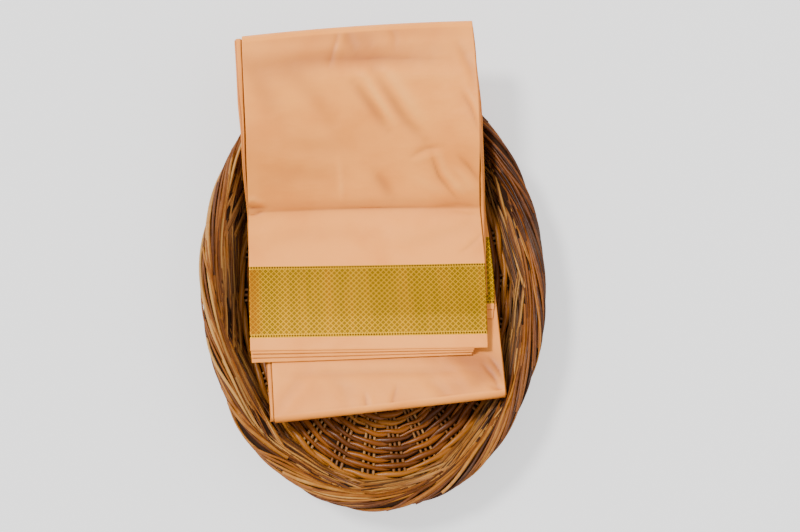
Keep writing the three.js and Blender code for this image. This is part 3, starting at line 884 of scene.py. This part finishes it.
def makeSilk(look):
    material, board = newMaterial("peach silk")
    across, along, shade = clothCoordinates(board)
    blotch, slub, slubUp, soft = [clothNoise(board, across, along, look[name])
                                  for name in ("blotch", "slub", "slubUp", "soft")]
    blotches = blotch.between(*look["blotchRange"]) * look["blotchAmount"]
    slubs = (slub.between(*look["slubRange"]) + slubUp.between(*look["slubUpRange"])) * look["slubAmount"]
    color = board.mixColor(blotches, look["peach"], look["warm"])
    color = board.mixColor(slubs, color, look["warm"])
    # painted highlight where the shade is below zero (ridges), painted shade where it is above (creases,
    # fold notches, gaps between leaves)
    color = board.mixColor((shade * -look["lighter"]).limit(0.0, look["lightest"]), color, look["light"])
    color = board.mixColor((shade * look["darker"]).limit(0.0, look["darkest"]), color, look["deep"])
    weave = threads(across, along, look["thread"])
    height = weave * look["threadHeight"] + soft * look["softHeight"] + slub * look["slubHeight"]
    bump = board.node("ShaderNodeBump", sockets={
        "Height": height, "Strength": look["bump"], "Distance": bumpDistance})
    shader = board.node("ShaderNodeBsdfPrincipled", sockets={
        "Base Color": color, "Roughness": blotch * look["uneven"] + look["roughness"], "Normal": bump,
        "Specular IOR Level": look["specular"], "Sheen Weight": look["sheen"],
        "Sheen Roughness": look["sheenRoughness"], "Sheen Tint": look["sheenTint"]})
    finishMaterial(board, shader)
    return material


# The two ways of a lattice of diagonals: 1 on a line, 0 between.
def diagonals(across, along, pitch, width, core):
    masks = []
    for way in (1, -1):
        cell = ((across + along * way) / pitch).math("FRACT") - 0.5
        masks.append(1 - cell.math("ABSOLUTE").between(width * core, width))
    return masks


def makeZari(look):
    material, board = newMaterial("gold zari")
    across, along, _ = clothCoordinates(board)
    core, half = look["lineCore"], look["fine"] / 2
    rising, falling = diagonals(across, along, look["lattice"], look["line"], core)
    fineRising, fineFalling = diagonals(across + half, along, look["fine"], look["fineLine"], core)
    lines = rising.math("MAXIMUM", falling) * look["lineStrength"]
    fineLines = fineRising.math("MAXIMUM", fineFalling) * look["fineStrength"]
    pattern = lines.math("MAXIMUM", fineLines) + rising * falling * look["crossing"]
    streak, narrow = [clothNoise(board, across, along, look[name]) for name in ("streak", "narrow")]
    side = 1 - (across + look["leftSide"]).between(*look["sideFade"])
    orange = (streak * narrow).between(*look["orangeRange"]) * look["orangeStreaks"]
    orange = orange + side * look["sideGround"]
    ground = board.mixColor(streak.between(*look["groundRange"]), look["olive"], look["ground"])
    ground = board.mixColor(orange, ground, look["orange"])
    shine = look["shine"] + streak.between(*look["shineRange"]) * look["shineStreaks"]
    color = board.mixColor(pattern.math("MINIMUM", 1.0) * shine, ground, look["bright"])
    color = board.mixColor(side * look["sideWash"], color, look["orange"])
    # a dotted row runs along each edge of the border
    nearRow = (along - look["rowInset"]).math("ABSOLUTE")
    farRow = (along - (look["width"] - look["rowInset"])).math("ABSOLUTE")
    off = nearRow.math("MINIMUM", farRow)
    dotPlace = ((across / look["dots"]).math("FRACT") - 0.5) * look["dots"]
    dots = 1 - (dotPlace * dotPlace + off * off).math("SQRT").between(*look["dotSize"])
    rows = (1 - off.between(*look["row"])) * look["rowStrength"]
    color = board.mixColor(rows, color, look["bright"])
    color = board.mixColor(dots, color, look["dot"])
    height = threads(across, along, look["thread"]) * look["threadHeight"] - dots * look["dotDepth"]
    bump = board.node("ShaderNodeBump", sockets={
        "Height": height, "Strength": look["bump"], "Distance": bumpDistance})
    shader = board.node("ShaderNodeBsdfPrincipled", sockets={
        "Base Color": color, "Metallic": look["metallic"] + pattern * look["patternMetallic"],
        "Roughness": look["roughness"] - pattern * look["patternPolish"], "Normal": bump,
        "Specular IOR Level": look["specular"]})
    finishMaterial(board, shader)
    return material


fabrics = {"silk": makeSilk(silkLook), "zari": makeZari(zariLook)}

clothPieces = {
    "upperPanel": {"node": "upper_panel", "slot": "silk", "held": "folded", "on": ["hidden_layers"],
                   "leaves": dressUpperPanel},
    "upperBorder": {"node": "upper_border", "slot": "zari", "held": "laid",
                    "on": ["hidden_layers", "selvedge_leaf_2"], "leaves": dressUpperBorder},
    "upperSelvedge": {"node": "upper_selvedge", "slot": "silk", "held": "laid", "on": ["selvedge_leaf_2"],
                      "leaves": dressUpperSelvedge},
    "lowerPanel": {"node": "lower_panel", "slot": "silk", "held": "folded",
                   "on": ["basket_base", "hidden_layers"], "leaves": dressLowerPanel},
    "innerPanel": {"node": "inner_panel", "slot": "silk", "held": "laid", "on": ["hidden_layers"],
                   "leaves": lambda: dressInner("innerBorderFar", "seam")},
    "innerBorder": {"node": "inner_border", "slot": "zari", "held": "laid", "on": ["lower_panel"],
                    "leaves": lambda: dressInner("innerBorderNear", "innerBorderFar")},
    "innerSelvedge": {"node": "inner_selvedge", "slot": "silk", "held": "laid", "on": ["lower_panel"],
                      "leaves": lambda: dressInner("innerStep", "innerBorderNear")},
    "innerSelvedgeStep": {"node": "inner_selvedge_step", "slot": "silk", "held": "laid",
                          "on": ["lower_panel"],
                          "leaves": lambda: dressInner("innerEdge", "innerStep", 1.1, (True, False))},
}
for name, row in selvedgeRows.items():
    clothPieces["selvedgeLeaf" + name[-1]] = {
        "node": name, "slot": "silk", "held": "laid", "on": ["hidden_layers"],
        "leaves": lambda row=row: dressSelvedge(row)}

for name, spec in clothPieces.items():
    leaves = spec["leaves"]()
    piece = leafShell(name, leaves)
    piece.data.materials.append(fabrics[spec["slot"]])
    width, length = clothSize(leaves[0])
    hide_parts(spec["node"])
    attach(piece, "root")
    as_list(spec["on"])

layers = hiddenLayers()
layers.data.materials.append(fabrics["silk"])
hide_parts("hidden_layers")
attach(layers, "root")
print("cloth made")


basketForm = {
    "halfWidth": 122.0, "halfLength": 172.0, "rimOut": 22.0, "rimHeight": 50.0, "spokeGroups": 26,
}
oval = {"Half Width": basketForm["halfWidth"], "Half Length": basketForm["halfLength"]}
fullTurn = 2 * math.pi
anyAngle = 6.28    # a random start is anywhere up to this
tintSeed = 90    # how far a rod's tint is from its other random draws


# A geometry tree with named inputs, the oval's two and these sizes among them. finishRods ends it.
def newTree(name, *sizes):
    tree = bpy.data.node_groups.new(name, "GeometryNodeTree")
    kinds = {"Count": "NodeSocketInt", **dict.fromkeys((*oval, *sizes), "NodeSocketFloat"),
             "Seed": "NodeSocketInt", "Material": "NodeSocketMaterial"}
    for label, kind in kinds.items():
        tree.interface.new_socket(label, in_out="INPUT", socket_type=kind)
    tree.interface.new_socket("Geometry", in_out="OUTPUT", socket_type="NodeSocketGeometry")
    board = Board(tree)
    source = tree.nodes.new("NodeGroupInput")
    return tree, board, {label: Wire(board, source.outputs[label]) for label in kinds}


# Rods as splines: their index, and the share of the way along each.
def rodSplines(board, count, steps):
    line = board.node("GeometryNodeCurvePrimitiveLine", sockets={"End": (1, 0, 0)})
    line = board.node("GeometryNodeResampleCurve", sockets={"Curve": line, "Count": steps})
    spots = board.node("GeometryNodePoints", sockets={"Count": count})
    placed = board.node("GeometryNodeInstanceOnPoints", sockets={"Points": spots, "Instance": line})
    curves = board.node("GeometryNodeRealizeInstances", sockets={"Geometry": placed})
    rod = board.node("GeometryNodeCurveOfPoint")
    share = board.node("GeometryNodeSplineParameter")
    return curves, rod, share


def chance(board, rod, seed, low, high):
    return board.node("FunctionNodeRandomValue", {"data_type": "FLOAT"},
                      {2: low, 3: high, "ID": rod, "Seed": seed}, 1)


# Random values for each rod, from the ranges that a shape names.
def varied(board, rod, size, shape):
    return lambda step, name: chance(board, rod, size["Seed"] + step, *shape[name])


# Moves the splines to their places, gives them their round section and ends the tree.
def finishRods(board, size, rods, place, radius, sides, flat=None):
    curves, rod, share = rods
    tint = chance(board, rod, size["Seed"] + tintSeed, 0.0, 1.0)
    for label, value in (("rodTint", tint), ("rodAlong", share)):
        curves = board.node("GeometryNodeStoreNamedAttribute", {"data_type": "FLOAT", "domain": "POINT"},
                            {"Geometry": curves, "Name": label, "Value": value})
    position = board.vector(*[axis * mm for axis in place])
    curves = board.node("GeometryNodeSetPosition", sockets={"Geometry": curves, "Position": position})
    if flat:    # a flattened rod lies level
        curves = board.node("GeometryNodeSetCurveNormal", {"mode": "Z_UP"}, {"Curve": curves})
    ring = board.node("GeometryNodeCurvePrimitiveCircle", sockets={"Resolution": sides, "Radius": 1.0})
    ring = board.node("GeometryNodeTransform", sockets={"Geometry": ring, "Scale": (1.0, flat or 1.0, 1.0)})
    tubes = board.node("GeometryNodeCurveToMesh", sockets={
        "Curve": curves, "Profile Curve": ring, "Scale": radius * mm, "Fill Caps": True})
    smooth = board.node("GeometryNodeSetShadeSmooth", sockets={"Geometry": tubes, "Shade Smooth": True})
    real = board.node("GeometryNodeRealizeInstances", sockets={"Geometry": smooth})
    done = board.node("GeometryNodeSetMaterial", sockets={"Geometry": real, "Material": size["Material"]})
    board.node("NodeGroupOutput", sockets={0: done})


# Runs a tree on an empty object and keeps the result as a plain mesh.
def grow(name, tree, values):
    piece = bpy.data.objects.new(name, bpy.data.meshes.new(name))
    bpy.context.scene.collection.objects.link(piece)
    modifier = piece.modifiers.new("grow", "NODES")
    modifier.node_group = tree
    for item in tree.interface.items_tree:
        if item.in_out == "INPUT":
            modifier[item.identifier] = values[item.name]
    evaluated = piece.evaluated_get(bpy.context.evaluated_depsgraph_get())
    grown = bpy.data.meshes.new_from_object(evaluated)
    piece.modifiers.remove(modifier)
    piece.data = grown
    grown.name = name
    return piece


# Weavers in concentric ovals. Two twist round each other in a row, one over and one under each
# group of spokes.
weaverSizes = {"Count": 32, "Pitch": 7.6, "Width": 2.15, "Lift": 1.6, "Twist": 1.5, "Middle": 3.2, "Seed": 3}
weaverShape = {
    "steps": 280, "sides": 7, "flat": 0.56, "overlap": 0.02, "firstRow": 0.45, "calmWithin": 45,
    "wander": 0.5, "wanderWaves": 5, "ripple": 0.25, "rippleWaves": 29, "swell": 0.30,
    "uneven": (0.86, 1.08),
}


def weaverTree(shape):
    tree, board, size = newTree("base weavers", "Pitch", "Width", "Lift", "Twist", "Middle", "Waves")
    rods = rodSplines(board, size["Count"], shape["steps"])
    _, rod, share = rods
    row = (rod / 2).math("FLOOR")
    angle = share * (fullTurn + shape["overlap"]) + chance(board, rod, size["Seed"], 0.0, anyAngle)
    swing = angle * size["Waves"] + rod * math.pi
    phase = chance(board, row, size["Seed"] + 1, 0.0, anyAngle)
    wander = (angle * shape["wanderWaves"] + phase).math("SINE") * shape["wander"]
    inset = (row + shape["firstRow"]) * size["Pitch"]
    # the innermost rows twist less
    calm = ((size["Half Width"] - inset) / shape["calmWithin"]).math("MINIMUM", 1.0)
    ripple = (angle * shape["rippleWaves"] + rod).math("SINE") * shape["ripple"]
    wander = wander + swing.math("SINE") * size["Twist"] * calm + ripple
    x = (size["Half Width"] - inset + wander) * angle.math("COSINE")
    y = (size["Half Length"] - inset + wander) * angle.math("SINE")
    z = size["Middle"] + size["Lift"] * calm * swing.math("COSINE")
    swell = 1.0 + swing.math("COSINE") * shape["swell"]
    radius = size["Width"] * swell * chance(board, rod, size["Seed"] + 2, *shape["uneven"])
    finishRods(board, size, rods, (x, y, z), radius, shape["sides"], shape["flat"])
    return tree


# Spokes in groups, from the floor's middle to its edge, closer together in the middle.
spokeSizes = {"Rods": 3, "Spread": 4.1, "Width": 1.3, "Middle": 3.2, "Seed": 5}
spokeShape = {"steps": 12, "sides": 6, "flat": 0.75, "reach": 0.99, "closest": 0.25,
              "ripple": 0.12, "rippleWaves": 40, "rippleShift": 2, "uneven": (0.85, 1.15)}


def spokeTree(shape):
    tree, board, size = newTree("base spokes", "Groups", "Rods", "Spread", "Width", "Middle")
    rods = rodSplines(board, size["Count"], shape["steps"])
    _, rod, share = rods
    group = (rod / size["Rods"]).math("FLOOR")
    beside = (rod - group * size["Rods"] - (size["Rods"] - 1) / 2) * size["Spread"]
    angle = group / size["Groups"] * fullTurn
    reach = share * shape["reach"]
    spread = reach + shape["closest"]
    x = size["Half Width"] * angle.math("COSINE") * reach - angle.math("SINE") * beside * spread
    longer = size["Half Length"] - size["Half Width"]
    y = (longer + size["Half Width"] * reach) * angle.math("SINE") + angle.math("COSINE") * beside * spread
    ripple = (share * shape["rippleWaves"] + rod * shape["rippleShift"]).math("SINE") * shape["ripple"]
    z = size["Middle"] + ripple
    radius = size["Width"] * chance(board, rod, size["Seed"], *shape["uneven"])
    finishRods(board, size, rods, (x, y, z), radius, shape["sides"], shape["flat"])
    return tree


# Strands that climb the wall in shallow diagonals, in two directions that swap front and back.
strandSizes = {
    "inside": {"Count": 270, "Sweep": 1.25, "Depth": 1.0, "Swap": 1.3, "Radius": 1.22, "Seed": 21},
    "outside": {"Count": 200, "Sweep": 1.05, "Depth": 4.7, "Swap": 1.0, "Radius": 1.5, "Seed": 47},
}
wallSizes = {"Low": 2.1, "High": 46.5, "Flare": 18.2}
strandShape = {
    "steps": 30, "sides": 6, "bundle": 4, "ways": 0.75, "curve": 1.35, "highest": 1.04,
    "swapWaves": 11, "waver": 0.35, "waverWaves": 19, "taper": 0.38,
    "starts": (-0.6, 0.6), "sweeps": (0.72, 1.2), "climbs": (0.9, 1.04), "feet": (-0.05, 0.05),
    "depths": (-0.45, 0.45), "uneven": (0.7, 1.3),
}


def strandTree(shape):
    tree, board, size = newTree("wall strands", "Low", "High", "Flare", "Sweep", "Depth", "Swap", "Radius")
    rods = rodSplines(board, size["Count"], shape["steps"])
    _, rod, share = rods
    vary = varied(board, rod, size, shape)
    bundle = (rod / shape["bundle"]).math("FLOOR")
    # one bundle in four runs the other way
    way = 1 - 2 * (bundle * shape["ways"]).math("FRACT").math("CEIL")
    start = (rod + vary(0, "starts")) / size["Count"] * fullTurn
    angle = start + way * (size["Sweep"] * vary(1, "sweeps")) * (share - 0.5)
    climb = (share * vary(2, "climbs") + vary(3, "feet")).limit(0.0, shape["highest"])
    waver = (angle * shape["waverWaves"] + rod).math("SINE") * shape["waver"]
    swap = size["Swap"] * way * (angle * shape["swapWaves"]).math("SINE")
    depth = size["Depth"] + swap + waver + vary(4, "depths")
    out = size["Flare"] * climb ** shape["curve"] + depth
    x = (size["Half Width"] + out) * angle.math("COSINE")
    y = (size["Half Length"] + out) * angle.math("SINE")
    z = size["Low"] + (size["High"] - size["Low"]) * climb
    taper = (1 - shape["taper"]) + shape["taper"] * (1 - share)
    radius = size["Radius"] * taper * vary(5, "uneven")
    finishRods(board, size, rods, (x, y, z), radius, shape["sides"])
    return tree


# Rods that climb out of the wall and wind over the rim, the long ones until they end under it.
# Shorter ones lie on top.
rimSizes = {
    "long": {"Count": 108, "Sweep": 1.06, "From": -1.9, "Turn": 6.2,
             "Bundle": 5.4, "Radius": 1.45, "Seed": 8},
    "ends": {"Count": 34, "Sweep": 0.42, "From": -0.5, "Turn": 3.0,
             "Bundle": 5.9, "Radius": 1.75, "Seed": 31},
}
rimPlace = {"Rim Out": basketForm["rimOut"], "Rim Height": basketForm["rimHeight"],
            "Bow": 3.2, "Bow At": 3.86}    # the rim bows out a little further at the near left
rimShape = {
    "steps": 40, "sides": 7, "bowNarrow": 60.0, "belowIn": 2.8, "belowDown": 8.4,
    "ripple": 0.4, "rippleWaves": 9,
    "thick": 1.05, "taper": 0.25, "starts": (-0.42, 0.42), "sweeps": (0.72, 1.3),
    "turns": (-0.25, 0.25), "bundles": (-1.5, 0.5), "uneven": (0.65, 1.12),
}


def rimTree(shape):
    tree, board, size = newTree("rim rods", "Rim Out", "Rim Height", "Sweep", "From", "Turn", "Bundle",
                                "Bow", "Bow At", "Radius")
    rods = rodSplines(board, size["Count"], shape["steps"])
    _, rod, share = rods
    vary = varied(board, rod, size, shape)
    start = (rod + vary(0, "starts")) / size["Count"] * fullTurn
    angle = start - size["Sweep"] * vary(1, "sweeps") * share
    turn = size["From"] + share * size["Turn"] + vary(2, "turns")
    over = turn.math("MAXIMUM", 0.0)
    below = (0 - turn).math("MAXIMUM", 0.0)
    ripple = (angle * shape["rippleWaves"] + rod).math("SINE") * shape["ripple"]
    bundle = size["Bundle"] + vary(3, "bundles") + ripple
    toBow = (angle - size["Bow At"]).math("COSINE").math("MAXIMUM", 0.0)
    bow = size["Bow"] * toBow ** shape["bowNarrow"]
    out = size["Rim Out"] + bow - bundle * over.math("COSINE") - below * shape["belowIn"]
    x = (size["Half Width"] + out) * angle.math("COSINE")
    y = (size["Half Length"] + out) * angle.math("SINE")
    z = size["Rim Height"] + bundle * over.math("SINE") - below * shape["belowDown"]
    radius = size["Radius"] * (shape["thick"] - shape["taper"] * share) * vary(4, "uneven")
    finishRods(board, size, rods, (x, y, z), radius, shape["sides"])
    return tree


# Stops run from a dark rod to a pale one. grey and low say how much of those two goes over them;
# low is painted shade towards the bottom of the wall. The last value says how much painted shade
# darkens the basket towards its right, away from the light.
willowLooks = {
    "floor willow": {
        "stops": [(0.0, (0.070, 0.018, 0.002)), (0.30, (0.150, 0.040, 0.003)), (0.65, (0.240, 0.068, 0.004)),
                  (1.0, (0.360, 0.130, 0.014))],
        "roughness": 0.36, "grey": 0.0, "low": 0.0, "sideShade": 0.3},
    "spoke willow": {
        "stops": [(0.0, (0.10, 0.030, 0.005)), (0.5, (0.19, 0.072, 0.015)), (1.0, (0.32, 0.155, 0.045))],
        "roughness": 0.40, "grey": 0.0, "low": 0.0, "sideShade": 0.0},
    "wall willow": {
        "stops": [(0.0, (0.026, 0.006, 0.001)), (0.26, (0.13, 0.036, 0.004)), (0.5, (0.30, 0.102, 0.013)),
                  (0.75, (0.46, 0.215, 0.045)), (1.0, (0.34, 0.100, 0.007))],
        "roughness": 0.48, "grey": 0.25, "low": 0.38, "sideShade": 0.5},
    "rim willow": {
        "stops": [(0.0, (0.030, 0.007, 0.001)), (0.28, (0.105, 0.027, 0.002)), (0.58, (0.22, 0.065, 0.005)),
                  (0.84, (0.34, 0.128, 0.016)), (1.0, (0.43, 0.212, 0.052))],
        "roughness": 0.46, "grey": 0.10, "low": 0.0, "sideShade": 1.1},
    # the cores' colour: painted shade in the gaps between rods
    "gap shade willow": {
        "stops": [(0.0, (0.020, 0.006, 0.001)), (1.0, (0.065, 0.019, 0.003))],
        "roughness": 0.9, "grey": 0.0, "low": 0.0, "sideShade": 0.0},
}
willowGrain = {
    "tint": 0.92, "bands": 0.42, "grain": 0.30, "darker": 0.34,
    "bandPlace": (6, 50), "bandNoise": (1.0, 3.0, 0.6), "grainNoise": (260.0, 3.0, 0.6),
    "grey": (0.27, 0.150, 0.060), "greyNoise": (22.0, 2.0, 0.5), "greyRange": (0.45, 0.75),
    # low is the colour of the painted shade near the bottom of the wall.
    "low": (0.085, 0.036, 0.010), "lowHeight": (0.004, 0.040),
    "knot": (0.05, 0.02, 0.01), "knotPlace": (9, 70), "knotSize": (0.04, 0.10), "knotStrength": 0.6,
    "grainHeight": 0.5, "bandHeight": 0.4, "bump": 0.35, "bumpDistance": 0.0008,
    "uneven": 0.25, "specular": 0.22,
}


def makeWillow(name, look, wood):
    material, board = newMaterial(name)
    place = board.node("ShaderNodeTexCoord", out=3)
    tint = board.node("ShaderNodeAttribute", {"attribute_name": "rodTint"}, out=2)
    along = board.node("ShaderNodeAttribute", {"attribute_name": "rodAlong"}, out=2)
    bandPlace, knotPlace = [board.vector(along * wood[name][0], tint * wood[name][1])
                            for name in ("bandPlace", "knotPlace")]
    bands = board.noise(bandPlace, *wood["bandNoise"])
    grain = board.noise(place, *wood["grainNoise"])
    grey = board.noise(place, *wood["greyNoise"]).between(*wood["greyRange"]) * look["grey"]
    shade = tint * wood["tint"] + bands * wood["bands"] + grain * wood["grain"] - wood["darker"]
    # painted shade: darker towards the right and lighter at the left, where the light comes from
    shade = shade - place.part(0) * look["sideShade"]
    color = board.node("ShaderNodeValToRGB", {"stops": look["stops"]}, {"Fac": shade})
    color = board.mixColor(grey, color, wood["grey"])
    # painted shade towards the bottom, where the wall meets the floor
    low = (1 - place.part(2).between(*wood["lowHeight"])) * look["low"]
    color = board.mixColor(low, color, wood["low"])
    knots = board.node("ShaderNodeTexVoronoi", {"feature": "F1"}, {"Vector": knotPlace, "Scale": 1.0})
    knots = (1 - knots.between(*wood["knotSize"])) * wood["knotStrength"]
    color = board.mixColor(knots, color, wood["knot"])
    height = grain * wood["grainHeight"] + bands * wood["bandHeight"]
    bump = board.node("ShaderNodeBump", sockets={
        "Height": height, "Strength": wood["bump"], "Distance": wood["bumpDistance"]})
    shader = board.node("ShaderNodeBsdfPrincipled", sockets={
        "Base Color": color, "Roughness": look["roughness"] + (grain - 0.5) * wood["uneven"], "Normal": bump,
        "Specular IOR Level": wood["specular"]})
    finishMaterial(board, shader)
    return material


willow = {name: makeWillow(name, look, willowGrain) for name, look in willowLooks.items()}

# Dark cores behind the rods, as sections in (out, height) round the oval. They close the gaps like
# the basket's inner layers, and their dark colour is painted shade seen between the rods.
coreSteps = 96
coreSections = {
    "base": [(1.4, 0.3), (1.9, 0.6), (1.4, 0.9)],
    "wall": [(2.2, 0.4), (2.4, 8), (4.8, 16), (9.6, 28), (15.0, 40), (19.8, 48),
             (21.0, 48), (16.4, 40), (11.0, 28), (6.2, 16), (3.8, 8), (3.4, 0.4)],
}
rimRing = {"radius": 4.0, "sides": 8}


# A closed ring or disc of a section, carried round the oval.
def ovalSkin(name, section, disc=False, bow=0.0):
    points = []
    for step in range(coreSteps):
        angle = fullTurn * step / coreSteps
        bowed = bow * max(0.0, math.cos(angle - rimPlace["Bow At"])) ** rimShape["bowNarrow"]
        for out, height in section:
            points.append(((basketForm["halfWidth"] + out + bowed) * math.cos(angle),
                           (basketForm["halfLength"] + out + bowed) * math.sin(angle), height))
    size = len(section)
    faces = []
    for step in range(coreSteps):
        here, after = step * size, ((step + 1) % coreSteps) * size
        for j in range(size - (1 if disc else 0)):
            k = (j + 1) % size
            faces.append((here + j, after + j, after + k, here + k))
    if disc:
        faces.append(tuple(step * size for step in range(coreSteps))[::-1])
        faces.append(tuple(step * size + size - 1 for step in range(coreSteps)))
    mesh = bpy.data.meshes.new(name)
    mesh.from_pydata((np.array(points) * mm).tolist(), [], faces)
    for polygon in mesh.polygons:
        polygon.use_smooth = not disc
    mesh.materials.append(willow["gap shade willow"])
    piece = bpy.data.objects.new(name, mesh)
    bpy.context.scene.collection.objects.link(piece)
    return piece


def joinPieces(name, pieces):
    with bpy.context.temp_override(active_object=pieces[0], selected_editable_objects=pieces):
        bpy.ops.object.join()
    pieces[0].name = name
    pieces[0].data.name = name
    return pieces[0]


groups, perGroup = basketForm["spokeGroups"], spokeSizes["Rods"]
weavers = grow("weavers", weaverTree(weaverShape), {
    **oval, **weaverSizes, "Waves": groups / 2, "Material": willow["floor willow"]})
spokes = grow("spokes", spokeTree(spokeShape), {
    **oval, **spokeSizes, "Rods": float(perGroup), "Groups": float(groups), "Count": groups * perGroup,
    "Material": willow["spoke willow"]})
baseCore = ovalSkin("baseCore", coreSections["base"], disc=True)

tree = strandTree(strandShape)
strands = [grow("strands", tree, {**oval, **wallSizes, **sizes, "Material": willow["wall willow"]})
           for sizes in strandSizes.values()]
wallCore = ovalSkin("wallCore", coreSections["wall"])

tree = rimTree(rimShape)
rimRods = [grow("rimRods", tree, {**oval, **rimPlace, **sizes, "Material": willow["rim willow"]})
           for sizes in rimSizes.values()]
angles = np.arange(rimRing["sides"]) * fullTurn / rimRing["sides"]
ring = [(basketForm["rimOut"] + rimRing["radius"] * math.cos(angle),
         basketForm["rimHeight"] + rimRing["radius"] * math.sin(angle)) for angle in angles]
rimCore = ovalSkin("rimCore", ring, bow=rimPlace["Bow"])

basketPieces = {
    "basketBase": {"node": "basket_base", "parts": [weavers, spokes, baseCore]},
    "basketWall": {"node": "basket_wall", "parts": [*strands, wallCore]},
    "basketRim": {"node": "basket_rim", "parts": [*rimRods, rimCore]},
}
for name, spec in basketPieces.items():
    piece = joinPieces(name, spec["parts"])
    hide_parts(spec["node"])
    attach(piece, "root")
print("basket made")

for piece in bpy.data.objects:
    if piece.type == "MESH" and not piece.hide_render:
        print(piece.name, sum(len(p.vertices) - 2 for p in piece.data.polygons), "triangles")
